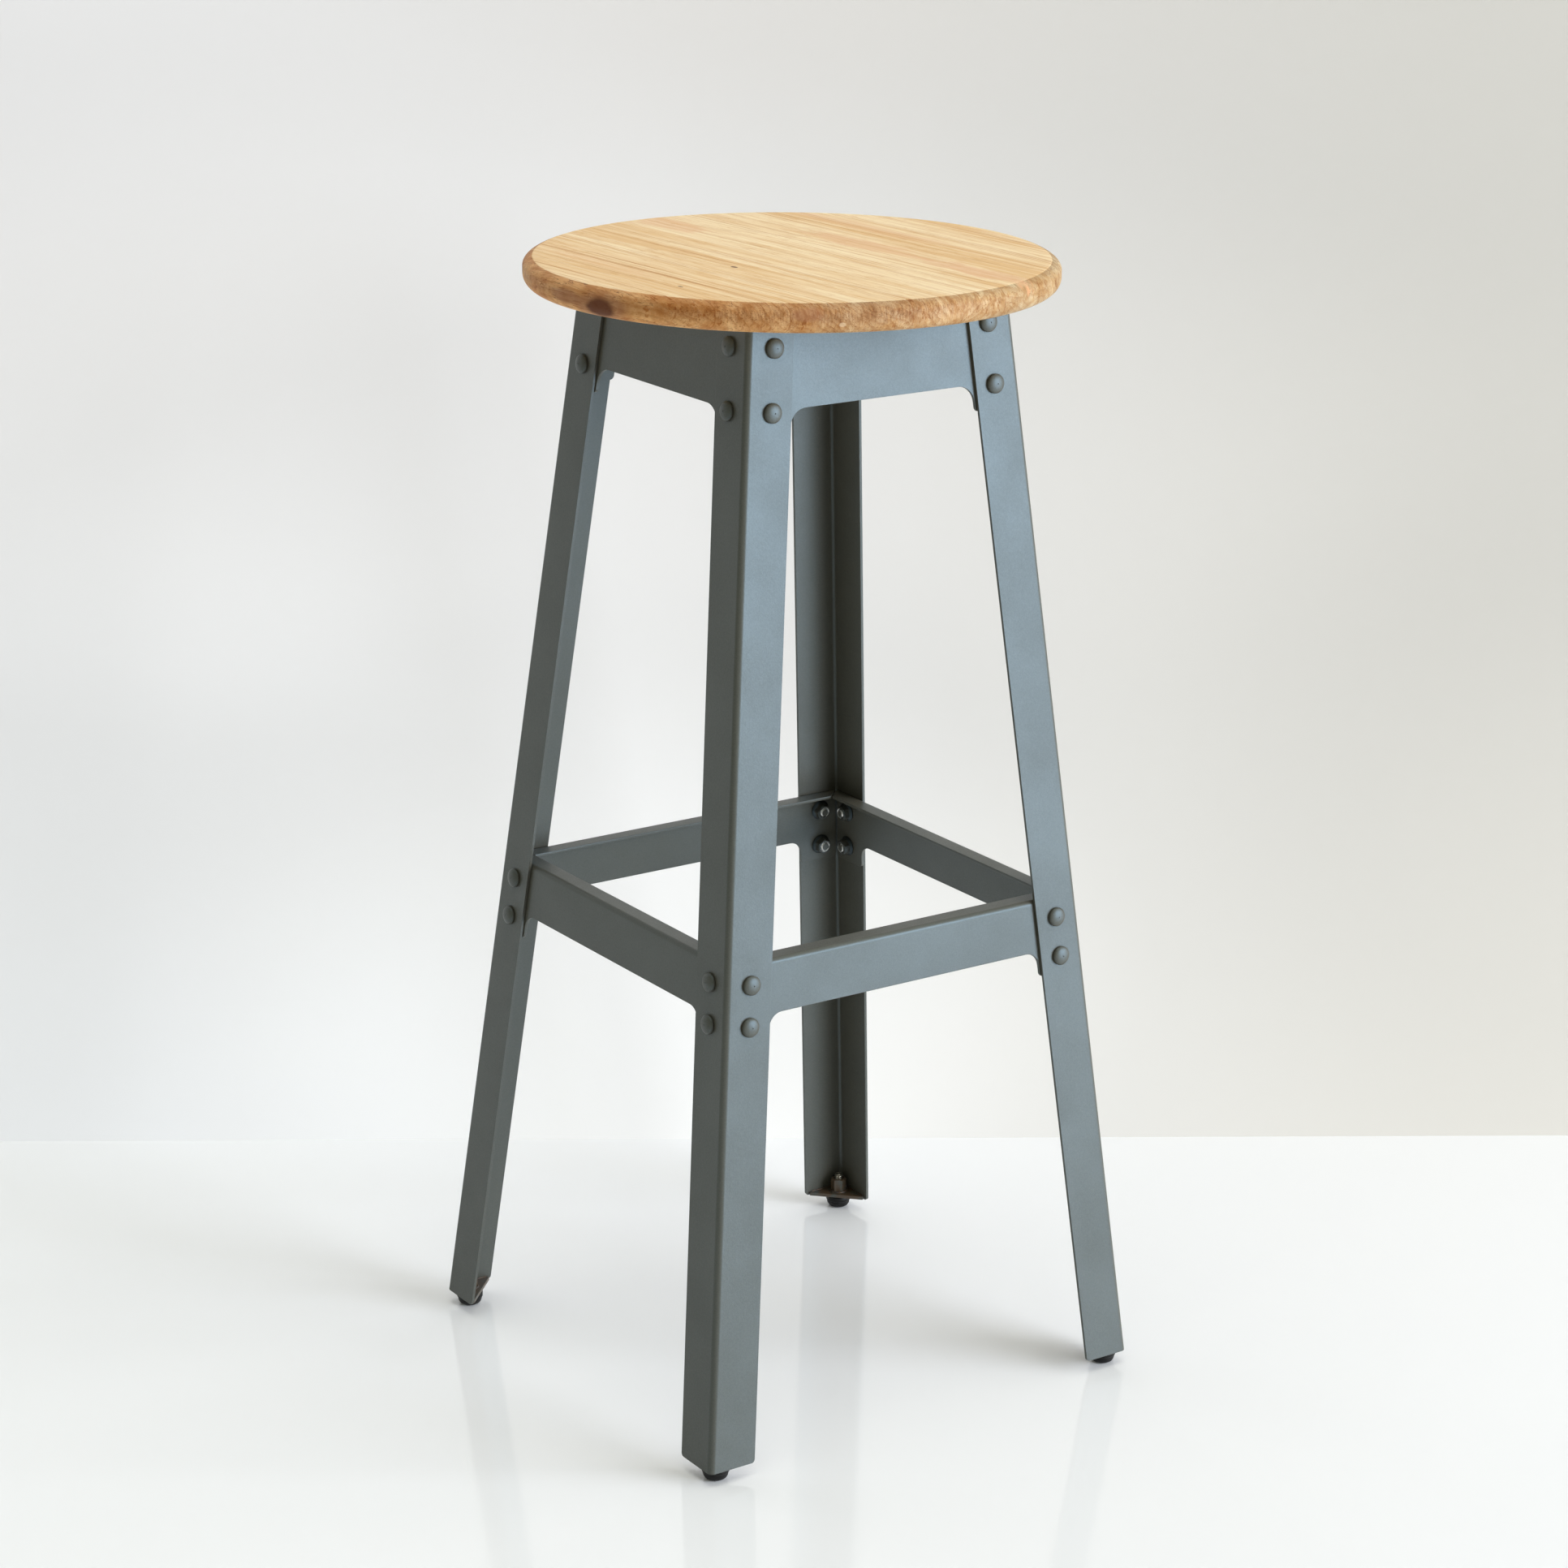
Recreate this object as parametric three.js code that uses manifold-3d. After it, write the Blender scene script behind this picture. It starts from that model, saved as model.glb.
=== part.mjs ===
// A bar stool with a footrest, in millimetres, +Z up.
//
// Four sheet-steel angle legs lean outwards both ways. Folded aprons and footrest rails are bolted
// behind the legs' flanges, a round wooden seat is screwed down onto the aprons, and a levelling
// glide screws into a weld nut at the foot of each leg.
//
// The origin is on the floor, under the middle of the seat. Every corner is a copy of the front left
// one, at -X -Y, and every side is a copy of the front one, at -Y, turned about the upright axis.

import * as THREE from 'three';
import { mergeVertices } from 'three/addons/utils/BufferGeometryUtils.js';
import Module from 'manifold-3d';

const wasm = await Module();
wasm.setup();

// ---- Driving dimensions ----------------------------------------------------------------------

const GAP = 0.3; // clearance between pieces that touch
const STEEL = 2; // thickness of every steel sheet

// The stool as a whole
const SEAT_TOP = 750; // height of the sitting face over the floor
const HALF_AT_FLOOR = 170.1; // the legs' outer corners, carried on down to the floor
const HALF_AT_SEAT = 99; // the same corners at the underside of the seat

// The seat
const SEAT_RADIUS = 171.5;
const SEAT_THICKNESS = 18.5;
const SEAT_TOP_ROUND = 6.5;
const SEAT_BOTTOM_ROUND = 8;

// The legs
const LEG_BOTTOM = 9.2; // height of the steel over the floor
const LEG_WIDTH = 34; // each flange, measured over the bend
const LEG_BEND = 4; // outer radius of the bend

// The aprons and the footrest rails. A bolt's inset runs from the legs' outer corner to its axis,
// and its drop from the top of the member.
const FLANGE_WIDTH = 13; // the top flange, measured over the bend
const FLANGE_BEND = 3; // outer radius of the bend
const MITRE_GAP = 0.6; // between the mitred flanges of neighbouring sides
const TAB_SHOWS = 1.2; // how far a tab reaches past the edge of the leg's flange
const TAB_CORNER = 3; // radius of a tab's lower corners
const APRON = { depth: 55, tabDrop: 17, fillet: 12, boltInset: 19.5, boltDrops: [16.1, 55.2] };
const RAIL = { depth: 35, tabDrop: 17, fillet: 10, boltInset: 18.5, boltDrops: [12.8, 39.5] };
const RAIL_TOP = 335; // height of the foot's resting edge over the floor

// The bolts through the legs
const BOLT_RADIUS = 3; // M6
const BOLT_HOLE_RADIUS = 3.3;
const BOLT_HEAD = { radius: 6.3, height: 3.4, edge: 1.2 };
const BOLT_END = 0.7; // how far the bolt's end stands past its nut
const NUT = { acrossFlats: 10, height: 6 };
const NUT_FLANGE = { radius: 7, edgeTaper: 0.7, height: 1.3 };

// The feet
const PLATE_THICKNESS = 2.5;
const PLATE_CORNER_CUT = 3; // clears the bend inside the leg
const WELD_NUT_HEIGHT = 10;
const FOOT_INSET = 11.7; // glide axis to the leg's outer corner, both ways
const GLIDE = { topRadius: 9, waistRadius: 8.4, bottomRadius: 5.5, chamferHeight: 5, rim: 0.6 };
const STUD_ABOVE_NUT = 3.5;

// The screws that hold the seat
const SCREW = { inset: 9.8, radius: 2, headRadius: 4, headHeight: 2.4, inSeat: 12 };
const SCREW_HOLE_RADIUS = 2.3;

// ---- Dimensions that follow ------------------------------------------------------------------

const SEAT_UNDERSIDE = SEAT_TOP - SEAT_THICKNESS;
const STEEL_TOP = SEAT_UNDERSIDE - GAP;
const SPLAY = (HALF_AT_FLOOR - HALF_AT_SEAT) / SEAT_UNDERSIDE;
const SPLAY_ANGLE = Math.atan(SPLAY);
const WEB_FACE = STEEL + GAP; // a web's outer face, in from the legs' outer faces
const WEB_END = 2 * (STEEL + GAP) + GAP; // a web's end, in from the legs' outer corner
const PLATE_TOP = LEG_BOTTOM + PLATE_THICKNESS;
const WELD_NUT_TOP = PLATE_TOP + WELD_NUT_HEIGHT;
const NUT_RADIUS = NUT.acrossFlats / Math.sqrt(3); // to a corner of the hexagon

// The legs' outer corner at a height: its distance from the middle planes, in X and in Y.
const halfWidth = (z) => HALF_AT_FLOOR - SPLAY * z;

// Stands upright work in place: over a leaning corner, and behind a leaning front face.
const CORNER_LEAN = new THREE.Matrix4().set(
  1, 0, SPLAY, -HALF_AT_FLOOR,
  0, 1, SPLAY, -HALF_AT_FLOOR,
  0, 0, 1, 0,
  0, 0, 0, 1,
);
const FACE_LEAN = new THREE.Matrix4().set(
  1, 0, 0, 0,
  0, 1, SPLAY, -HALF_AT_FLOOR,
  0, 0, 1, 0,
  0, 0, 0, 1,
);

// ---- Materials -------------------------------------------------------------------------------

const paint = () => new THREE.MeshStandardMaterial({ color: 0x59646b, roughness: 0.5, metalness: 0.3 });
const wood = () => new THREE.MeshStandardMaterial({ color: 0xd8a468, roughness: 0.45, metalness: 0 });
const plastic = () => new THREE.MeshStandardMaterial({ color: 0x17171a, roughness: 0.5, metalness: 0 });
const zinc = () => new THREE.MeshStandardMaterial({ color: 0xb4b2aa, roughness: 0.35, metalness: 0.9 });

// ---- Joining and cutting ---------------------------------------------------------------------

function toManifold(geometry) {
  const plain = geometry.clone();
  plain.deleteAttribute('normal');
  plain.deleteAttribute('uv');
  const merged = mergeVertices(plain, 1e-4);
  const mesh = new wasm.Mesh({
    numProp: 3,
    vertProperties: merged.attributes.position.array,
    triVerts: new Uint32Array(merged.index.array),
  });
  return new wasm.Manifold(mesh);
}

function toGeometry(manifold) {
  const mesh = manifold.getMesh();
  const geometry = new THREE.BufferGeometry();
  geometry.setAttribute('position', new THREE.BufferAttribute(mesh.vertProperties, 3));
  geometry.setIndex(new THREE.BufferAttribute(mesh.triVerts, 1));
  const flat = geometry.toNonIndexed();
  flat.computeVertexNormals();
  return flat;
}

function join(first, ...others) {
  const joined = others.reduce((sum, next) => sum.add(toManifold(next)), toManifold(first));
  return toGeometry(joined);
}

function cut(geometry, cutters) {
  const left = cutters.reduce((rest, cutter) => rest.subtract(toManifold(cutter)), toManifold(geometry));
  return toGeometry(left);
}

function overlap(first, second) {
  return toGeometry(toManifold(first).intersect(toManifold(second)));
}

// ---- Outlines --------------------------------------------------------------------------------

// A closed outline through corners [x, y, radius], listed anticlockwise, with each corner rounded.
function roundedOutline(corners) {
  const shape = new THREE.Shape();
  corners.forEach(([x, y, radius], i) => {
    const corner = new THREE.Vector2(x, y);
    const before = new THREE.Vector2(...corners.at(i - 1)).sub(corner).normalize();
    const after = new THREE.Vector2(...corners[(i + 1) % corners.length]).sub(corner).normalize();
    if (!radius) {
      shape[i ? 'lineTo' : 'moveTo'](x, y);
      return;
    }
    const halfAngle = Math.acos(before.dot(after)) / 2;
    const reach = radius / Math.tan(halfAngle);
    const start = corner.clone().addScaledVector(before, reach);
    const end = corner.clone().addScaledVector(after, reach);
    const middle = before.clone().add(after).normalize();
    const centre = corner.clone().addScaledVector(middle, radius / Math.sin(halfAngle));
    const clockwise = before.cross(after) > 0;
    shape[i ? 'lineTo' : 'moveTo'](start.x, start.y);
    shape.absarc(centre.x, centre.y, radius, start.sub(centre).angle(), end.sub(centre).angle(), clockwise);
  });
  return shape;
}

// An L of sheet with its outer corner at the origin and its arms along +X and +Y.
function angleOutline(armX, armY, bend) {
  const inner = bend - STEEL;
  return roundedOutline([
    [0, 0, bend],
    [armX, 0, 0],
    [armX, STEEL, 0],
    [STEEL, STEEL, inner],
    [STEEL, armY, 0],
    [0, armY, 0],
  ]);
}

function extrude(shape, depth, curveSegments = 4) {
  return new THREE.ExtrudeGeometry(shape, { depth, bevelEnabled: false, curveSegments });
}

// ---- The bolts' places -----------------------------------------------------------------------

// Outward from the front face, square to it.
const FRONT_NORMAL = new THREE.Vector3(0, -Math.cos(SPLAY_ANGLE), Math.sin(SPLAY_ANGLE));
const UP_TO_FRONT_NORMAL = new THREE.Quaternion().setFromUnitVectors(
  new THREE.Vector3(0, 1, 0),
  FRONT_NORMAL,
);

// Where a member's bolts cross the front face: side is -1 at the left leg and 1 at the right one.
function boltPoints(top, { boltInset, boltDrops }, side) {
  return boltDrops.map((drop) => {
    const z = top - drop;
    return new THREE.Vector3(side * (halfWidth(z) - boltInset), -halfWidth(z), z);
  });
}

// Cutters for a member's bolt holes, through the leg and the web.
function boltHoles(top, member, side) {
  return boltPoints(top, member, side).map((point) => {
    const cutter = new THREE.CylinderGeometry(BOLT_HOLE_RADIUS, BOLT_HOLE_RADIUS, 6 * STEEL, 10);
    const centre = point.addScaledVector(FRONT_NORMAL, -STEEL);
    return cutter.applyQuaternion(UP_TO_FRONT_NORMAL).translate(...centre);
  });
}

// ---- The pieces ------------------------------------------------------------------------------

function seatGeometry() {
  const top = SEAT_TOP_ROUND;
  const bottom = SEAT_BOTTOM_ROUND;
  const arc = (radius, z, round, from) =>
    new THREE.EllipseCurve(radius, z, round, round, from, from + Math.PI / 2).getPoints(3);
  const profile = [
    new THREE.Vector2(0, SEAT_UNDERSIDE),
    ...arc(SEAT_RADIUS - bottom, SEAT_UNDERSIDE + bottom, bottom, -Math.PI / 2),
    ...arc(SEAT_RADIUS - top, SEAT_TOP - top, top, 0),
    new THREE.Vector2(0, SEAT_TOP),
  ];
  const disc = new THREE.LatheGeometry(profile, 64).rotateX(Math.PI / 2);
  const depth = SCREW.inSeat + 1;
  const pilotHoles = [0, 1, 2, 3].map((side) => {
    const hole = new THREE.CylinderGeometry(SCREW_HOLE_RADIUS, SCREW_HOLE_RADIUS, 2 * depth, 12);
    hole.rotateX(Math.PI / 2).translate(0, SCREW.inset - halfWidth(STEEL_TOP), SEAT_UNDERSIDE);
    return hole.rotateZ((side * Math.PI) / 2);
  });
  return cut(disc, pilotHoles);
}

function legGeometry() {
  const upright = extrude(angleOutline(LEG_WIDTH, LEG_WIDTH, LEG_BEND), STEEL_TOP - LEG_BOTTOM);
  const leg = upright.translate(0, 0, LEG_BOTTOM).applyMatrix4(CORNER_LEAN);
  const holes = (side) => [...boltHoles(STEEL_TOP, APRON, side), ...boltHoles(RAIL_TOP, RAIL, side)];
  // This leg is also the right-hand one of the left side: a quarter turn brings those holes round.
  const leftHoles = holes(1).map((hole) => hole.rotateZ(-Math.PI / 2));
  return cut(leg, [...holes(-1), ...leftHoles]);
}

// A folded web with a tab at each end and a flange along its top: an apron or a footrest rail.
function sideGeometry(top, member) {
  const { depth, tabDrop, fillet } = member;
  const bottom = top - depth;
  const tabBottom = bottom - tabDrop;
  const length = 2 * HALF_AT_FLOOR;

  const section = angleOutline(FLANGE_WIDTH, depth + tabDrop, FLANGE_BEND);
  const folded = extrude(section, length).translate(0, 0, -length / 2);
  // The section's arms turn from +X and +Y to +Y and -Z, and its length from Z to -X.
  folded.applyMatrix4(new THREE.Matrix4().set(
    0, 0, -1, 0,
    1, 0, 0, WEB_FACE,
    0, -1, 0, top,
    0, 0, 0, 1,
  ));

  const end = (z) => halfWidth(z) - WEB_END;
  const tabEdge = (z) => halfWidth(z) - LEG_WIDTH - TAB_SHOWS;
  const rightHalf = [
    [tabEdge(bottom), bottom, fillet],
    [tabEdge(tabBottom), tabBottom, TAB_CORNER],
    [end(tabBottom), tabBottom, TAB_CORNER],
    [end(top + GAP), top + GAP, 0],
  ];
  const leftHalf = rightHalf.map(([x, z, radius]) => [-x, z, radius]).reverse();
  const slab = extrude(roundedOutline([...rightHalf, ...leftHalf]), 3 * FLANGE_WIDTH);
  slab.rotateX(Math.PI / 2).translate(0, 2 * FLANGE_WIDTH, 0);

  const mitres = [-1, 1].map((side) => {
    const corner = halfWidth(top) - MITRE_GAP;
    const wedge = new THREE.Shape([
      new THREE.Vector2(side * corner, 0),
      new THREE.Vector2(side * (corner + FLANGE_WIDTH), 0),
      new THREE.Vector2(side * (corner + FLANGE_WIDTH), 2 * FLANGE_WIDTH),
      new THREE.Vector2(side * (corner - 2 * FLANGE_WIDTH), 2 * FLANGE_WIDTH),
    ]);
    return extrude(wedge, 2 * FLANGE_BEND).translate(0, 0, top - FLANGE_BEND);
  });

  const upright = cut(overlap(folded, slab), mitres);
  const holes = [-1, 1].flatMap((side) => boltHoles(top, member, side));
  return cut(upright.applyMatrix4(FACE_LEAN), holes);
}

function apronGeometry() {
  const hole = new THREE.CylinderGeometry(SCREW_HOLE_RADIUS, SCREW_HOLE_RADIUS, 4 * STEEL, 12);
  hole.rotateX(Math.PI / 2).translate(0, SCREW.inset - halfWidth(STEEL_TOP), STEEL_TOP - STEEL);
  return cut(sideGeometry(STEEL_TOP, APRON), [hole]);
}

// A domed bolt with its flanged nut run up to the web. The axis is Y, and the leg's outer face is at 0.
function boltGeometry() {
  const { radius, height, edge } = BOLT_HEAD;
  const nutTop = -2 * (STEEL + GAP);
  const end = nutTop - NUT.height - BOLT_END;
  const dome = new THREE.EllipseCurve(0, GAP + edge, radius, height - edge, 0, Math.PI / 2).getPoints(3);
  const profile = [
    new THREE.Vector2(0, end),
    new THREE.Vector2(BOLT_RADIUS - BOLT_END, end),
    new THREE.Vector2(BOLT_RADIUS, end + BOLT_END),
    new THREE.Vector2(BOLT_RADIUS, GAP),
    new THREE.Vector2(radius, GAP),
    ...dome,
  ];
  const bolt = new THREE.LatheGeometry(profile, 10);
  const nut = new THREE.CylinderGeometry(NUT_RADIUS, NUT_RADIUS, NUT.height, 6);
  nut.translate(0, nutTop - NUT.height / 2, 0);
  const { radius: flangeRadius, edgeTaper, height: flangeHeight } = NUT_FLANGE;
  const flange = new THREE.CylinderGeometry(flangeRadius, flangeRadius - edgeTaper, flangeHeight, 12);
  flange.translate(0, nutTop - flangeHeight / 2, 0);
  return join(bolt, nut, flange);
}

// The triangular plate that closes the foot of a leg, with the weld nut standing on it.
function footPlateGeometry() {
  const near = STEEL + GAP + SPLAY * PLATE_THICKNESS;
  const far = LEG_WIDTH - 1;
  const outline = new THREE.Shape([
    new THREE.Vector2(near + PLATE_CORNER_CUT, near),
    new THREE.Vector2(far, near),
    new THREE.Vector2(near, far),
    new THREE.Vector2(near, near + PLATE_CORNER_CUT),
  ]);
  const toCorner = -halfWidth(LEG_BOTTOM);
  const footCentre = toCorner + FOOT_INSET;
  const plate = extrude(outline, PLATE_THICKNESS).translate(toCorner, toCorner, LEG_BOTTOM);
  const nut = new THREE.CylinderGeometry(NUT_RADIUS, NUT_RADIUS, WELD_NUT_HEIGHT + 1, 6);
  nut.rotateX(Math.PI / 2).translate(footCentre, footCentre, WELD_NUT_TOP - (WELD_NUT_HEIGHT + 1) / 2);
  const bore = new THREE.CylinderGeometry(BOLT_HOLE_RADIUS, BOLT_HOLE_RADIUS, 2 * WELD_NUT_TOP, 12);
  bore.rotateX(Math.PI / 2).translate(footCentre, footCentre, WELD_NUT_TOP);
  return cut(join(plate, nut), [bore]);
}

// A plastic glide moulded onto its threaded stud, screwed right in.
function glideGeometry() {
  const { topRadius, waistRadius, bottomRadius, chamferHeight, rim } = GLIDE;
  const top = LEG_BOTTOM - GAP;
  const studEnd = WELD_NUT_TOP + STUD_ABOVE_NUT;
  const profile = [
    [0, 0],
    [bottomRadius - rim, 0],
    [bottomRadius, rim],
    [waistRadius, chamferHeight],
    [topRadius, chamferHeight + rim],
    [topRadius, top - rim],
    [topRadius - rim, top],
    [BOLT_RADIUS, top],
    [BOLT_RADIUS, studEnd - BOLT_END],
    [BOLT_RADIUS - BOLT_END, studEnd],
    [0, studEnd],
  ];
  const points = profile.map(([radius, z]) => new THREE.Vector2(radius, z));
  return new THREE.LatheGeometry(points, 16).rotateX(Math.PI / 2);
}

// A pan-head wood screw, up through an apron's flange into the seat. The axis is Z.
function seatScrewGeometry() {
  const underHead = STEEL_TOP - STEEL - GAP;
  const tip = SEAT_UNDERSIDE + SCREW.inSeat;
  const point = 2 * SCREW.radius;
  const profile = [
    [0, underHead - SCREW.headHeight],
    [SCREW.headRadius - 1, underHead - SCREW.headHeight],
    [SCREW.headRadius, underHead - SCREW.headHeight + 1],
    [SCREW.headRadius, underHead],
    [SCREW.radius, underHead],
    [SCREW.radius, tip - point],
    [0, tip],
  ];
  const points = profile.map(([radius, z]) => new THREE.Vector2(radius, z));
  return new THREE.LatheGeometry(points, 10).rotateX(Math.PI / 2);
}

// ---- The assembly ----------------------------------------------------------------------------

function piece(name, geometry, material) {
  const mesh = new THREE.Mesh(geometry, material);
  mesh.name = name;
  return mesh;
}

const stool = new THREE.Group();
stool.name = 'bar_stool';
stool.add(piece('seat', seatGeometry(), wood()));

const leg = legGeometry();
const footPlate = footPlateGeometry();
const glide = glideGeometry();
['front_left', 'front_right', 'rear_right', 'rear_left'].forEach((corner, turn) => {
  const group = new THREE.Group();
  group.rotation.z = (turn * Math.PI) / 2;
  const foot = FOOT_INSET - halfWidth(LEG_BOTTOM);
  const glideMesh = piece(`levelling_glide_${corner}`, glide, plastic());
  glideMesh.position.set(foot, foot, 0);
  group.add(
    piece(`leg_${corner}`, leg, paint()),
    piece(`foot_plate_${corner}`, footPlate, paint()),
    glideMesh,
  );
  stool.add(group);
});

const apron = apronGeometry();
const rail = sideGeometry(RAIL_TOP, RAIL);
const bolt = boltGeometry();
const seatScrew = seatScrewGeometry();
['front', 'right', 'rear', 'left'].forEach((sideName, turn) => {
  const group = new THREE.Group();
  group.rotation.z = (turn * Math.PI) / 2;
  group.add(piece(`apron_${sideName}`, apron, paint()));
  group.add(piece(`footrest_rail_${sideName}`, rail, paint()));

  const screwMesh = piece(`seat_screw_${sideName}`, seatScrew, zinc());
  screwMesh.position.y = SCREW.inset - halfWidth(STEEL_TOP);
  group.add(screwMesh);

  for (const [memberName, top, member] of [['apron', STEEL_TOP, APRON], ['rail', RAIL_TOP, RAIL]]) {
    for (const [end, side] of [['left', -1], ['right', 1]]) {
      boltPoints(top, member, side).forEach((point, row) => {
        const level = row === 0 ? 'upper' : 'lower';
        const boltMesh = piece(`bolt_${sideName}_${memberName}_${end}_${level}`, bolt, paint());
        boltMesh.position.copy(point);
        boltMesh.quaternion.copy(UP_TO_FRONT_NORMAL);
        group.add(boltMesh);
      });
    }
  }
  stool.add(group);
});

export default stool;
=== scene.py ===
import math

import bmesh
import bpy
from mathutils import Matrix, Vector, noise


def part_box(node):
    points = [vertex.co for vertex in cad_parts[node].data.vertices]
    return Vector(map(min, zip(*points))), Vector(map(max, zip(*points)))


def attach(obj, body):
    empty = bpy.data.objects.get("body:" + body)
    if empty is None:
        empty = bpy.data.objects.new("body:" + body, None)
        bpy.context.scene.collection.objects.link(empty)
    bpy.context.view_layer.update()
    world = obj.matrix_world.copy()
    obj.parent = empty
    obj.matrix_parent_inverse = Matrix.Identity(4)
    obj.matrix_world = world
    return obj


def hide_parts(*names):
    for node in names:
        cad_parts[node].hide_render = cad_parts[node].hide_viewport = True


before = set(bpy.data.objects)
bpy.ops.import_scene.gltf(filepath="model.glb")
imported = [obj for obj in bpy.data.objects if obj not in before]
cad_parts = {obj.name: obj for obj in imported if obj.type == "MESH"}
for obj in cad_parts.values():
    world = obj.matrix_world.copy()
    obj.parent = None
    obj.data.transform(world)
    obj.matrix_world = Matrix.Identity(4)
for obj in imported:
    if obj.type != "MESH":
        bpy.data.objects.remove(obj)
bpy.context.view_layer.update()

# The looks of the bar stool: its studio, its camera, and a finished piece for every CAD node.
#
# Everything is in metres in the CAD frame: +Z up, with the floor at Z = 0. Every corner is a copy
# of the front left one, at -X -Y, and every side is a copy of the front one, at -Y, turned about
# the upright axis.

MM = 0.001

# ---- Camera ----------------------------------------------------------------------------------

CAMERA_AZIMUTH = math.radians(-34.28)
CAMERA_ELEVATION = math.radians(17.48)
CAMERA_ROLL = math.radians(0.555)
CAMERA_DISTANCE = 2.6487
CAMERA_LENS = 91.76  # mm, on a 36 mm sensor
AIM_HEIGHT = 0.3969
AIM_RIGHT = -0.0019

# The level direction from the stool towards the camera, and the one to the camera's right.
TOWARDS_CAMERA = Vector((math.sin(CAMERA_AZIMUTH), -math.cos(CAMERA_AZIMUTH), 0))
CAMERA_RIGHT = Vector((math.cos(CAMERA_AZIMUTH), math.sin(CAMERA_AZIMUTH), 0))


def make_camera():
    back = TOWARDS_CAMERA * math.cos(CAMERA_ELEVATION)
    back.z = math.sin(CAMERA_ELEVATION)
    up = back.cross(CAMERA_RIGHT)
    facing = Matrix((CAMERA_RIGHT, up, back)).transposed().to_4x4()
    data = bpy.data.cameras.new("camera")
    data.sensor_width = 36
    data.lens = CAMERA_LENS
    camera = bpy.data.objects.new("camera", data)
    aim = Vector((0, 0, AIM_HEIGHT)) + CAMERA_RIGHT * AIM_RIGHT
    place = Matrix.Translation(aim + back * CAMERA_DISTANCE)
    camera.matrix_world = place @ facing @ Matrix.Rotation(CAMERA_ROLL, 4, "Z")
    bpy.context.scene.collection.objects.link(camera)
    bpy.context.scene.camera = camera


make_camera()

# ---- Dimensions, from the frame and the drawing ----------------------------------------------

GAP = 0.3 * MM  # clearance between pieces that touch
STEEL = 2 * MM  # thickness of every steel sheet
LEG_WIDTH = 34 * MM
LEG_BEND = 4 * MM
LEG_CORNER = 2.4 * MM
FLANGE_WIDTH = 13 * MM
FLANGE_BEND = 3 * MM
MITRE_GAP = 0.6 * MM
TAB_SHOWS = 1.2 * MM
TAB_CORNER = 3 * MM
TAB_DROP = 17 * MM
WEB_FACE = STEEL + GAP  # a web's outer face, in from the legs' outer faces
WEB_END = 2 * WEB_FACE + GAP

leg_low, leg_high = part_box("leg_front_left")
seat_low, seat_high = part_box("seat")
glide_low, glide_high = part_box("levelling_glide_front_left")
plate_low, plate_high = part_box("foot_plate_front_left")
screw_low, screw_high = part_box("seat_screw_front")

LEG_BOTTOM = leg_low.z
STEEL_TOP = leg_high.z
HALF_AT_BOTTOM = -leg_low.x
SPLAY = (HALF_AT_BOTTOM - (LEG_WIDTH - leg_high.x)) / (STEEL_TOP - LEG_BOTTOM)
SPLAY_ANGLE = math.atan(SPLAY)
FRONT_NORMAL = Vector((0, -math.cos(SPLAY_ANGLE), math.sin(SPLAY_ANGLE)))

FOOT_CENTRE = Vector(((glide_low.x + glide_high.x) / 2, (glide_low.y + glide_high.y) / 2, 0))
SCREW_PLACE = Vector((0, (screw_low.y + screw_high.y) / 2, 0))
SCREW_HOLE_RADIUS = 2.3 * MM

BOLT_RADIUS = 3 * MM
BOLT_HOLE_RADIUS = 3.3 * MM
BOLT_CHAMFER = 0.7 * MM
HEAD_RADIUS = 6.3 * MM
HEAD_HEIGHT = 3.4 * MM
HEAD_EDGE = 1.2 * MM
THREAD_PITCH = 1 * MM
THREAD_DEPTH = 0.5 * MM
NUT_FLATS = 10 * MM
NUT_HEIGHT = 6 * MM
NUT_SEAT = -2 * (STEEL + GAP)  # where a nut meets the web, in from the leg's outer face
NUT_FACE = NUT_SEAT - NUT_HEIGHT
WORN_END = NUT_FACE + 0.5 * MM
NUT_FLANGE_RADIUS = 7 * MM
NUT_FLANGE_HEIGHT = 1.3 * MM
PLATE_THICKNESS = 2.5 * MM
PLATE_TOP = LEG_BOTTOM + PLATE_THICKNESS
WELD_NUT_TOP = plate_high.z
WELD_NUT_TURN = 0.5  # radians, for the front left one
BOLT_TURN = 2.4  # radians from each bolt to the next, so that no two are tightened alike

SIDES = ("front", "right", "rear", "left")
CORNERS = ("front_left", "front_right", "rear_right", "rear_left")


class Member:
    """An apron or a footrest rail: a web with a tab at each end, bolted behind the legs."""

    def __init__(self, node, depth, fillet, bolt_inset, bolt_drops):
        self.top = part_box(f"{node}_front")[1].z
        self.depth = depth * MM
        self.fillet = fillet * MM
        self.bolt_inset = bolt_inset * MM
        self.bolt_drops = [drop * MM for drop in bolt_drops]

    def bolt_points(self, side):
        """Where its bolts cross the legs' front face, at the left leg (-1) or the right one (1)."""
        heights = [self.top - drop for drop in self.bolt_drops]
        return [Vector((side * (half(z) - self.bolt_inset), -half(z), z)) for z in heights]


def half(z):
    """The distance of the legs' outer corners from the middle planes at a height."""
    return HALF_AT_BOTTOM - SPLAY * (z - LEG_BOTTOM)


APRON = Member("apron", depth=55, fillet=12, bolt_inset=19.5, bolt_drops=(16.1, 55.2))
RAIL = Member("footrest_rail", depth=35, fillet=10, bolt_inset=18.5, bolt_drops=(12.8, 39.5))

# ---- Outlines and meshes ---------------------------------------------------------------------


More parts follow.
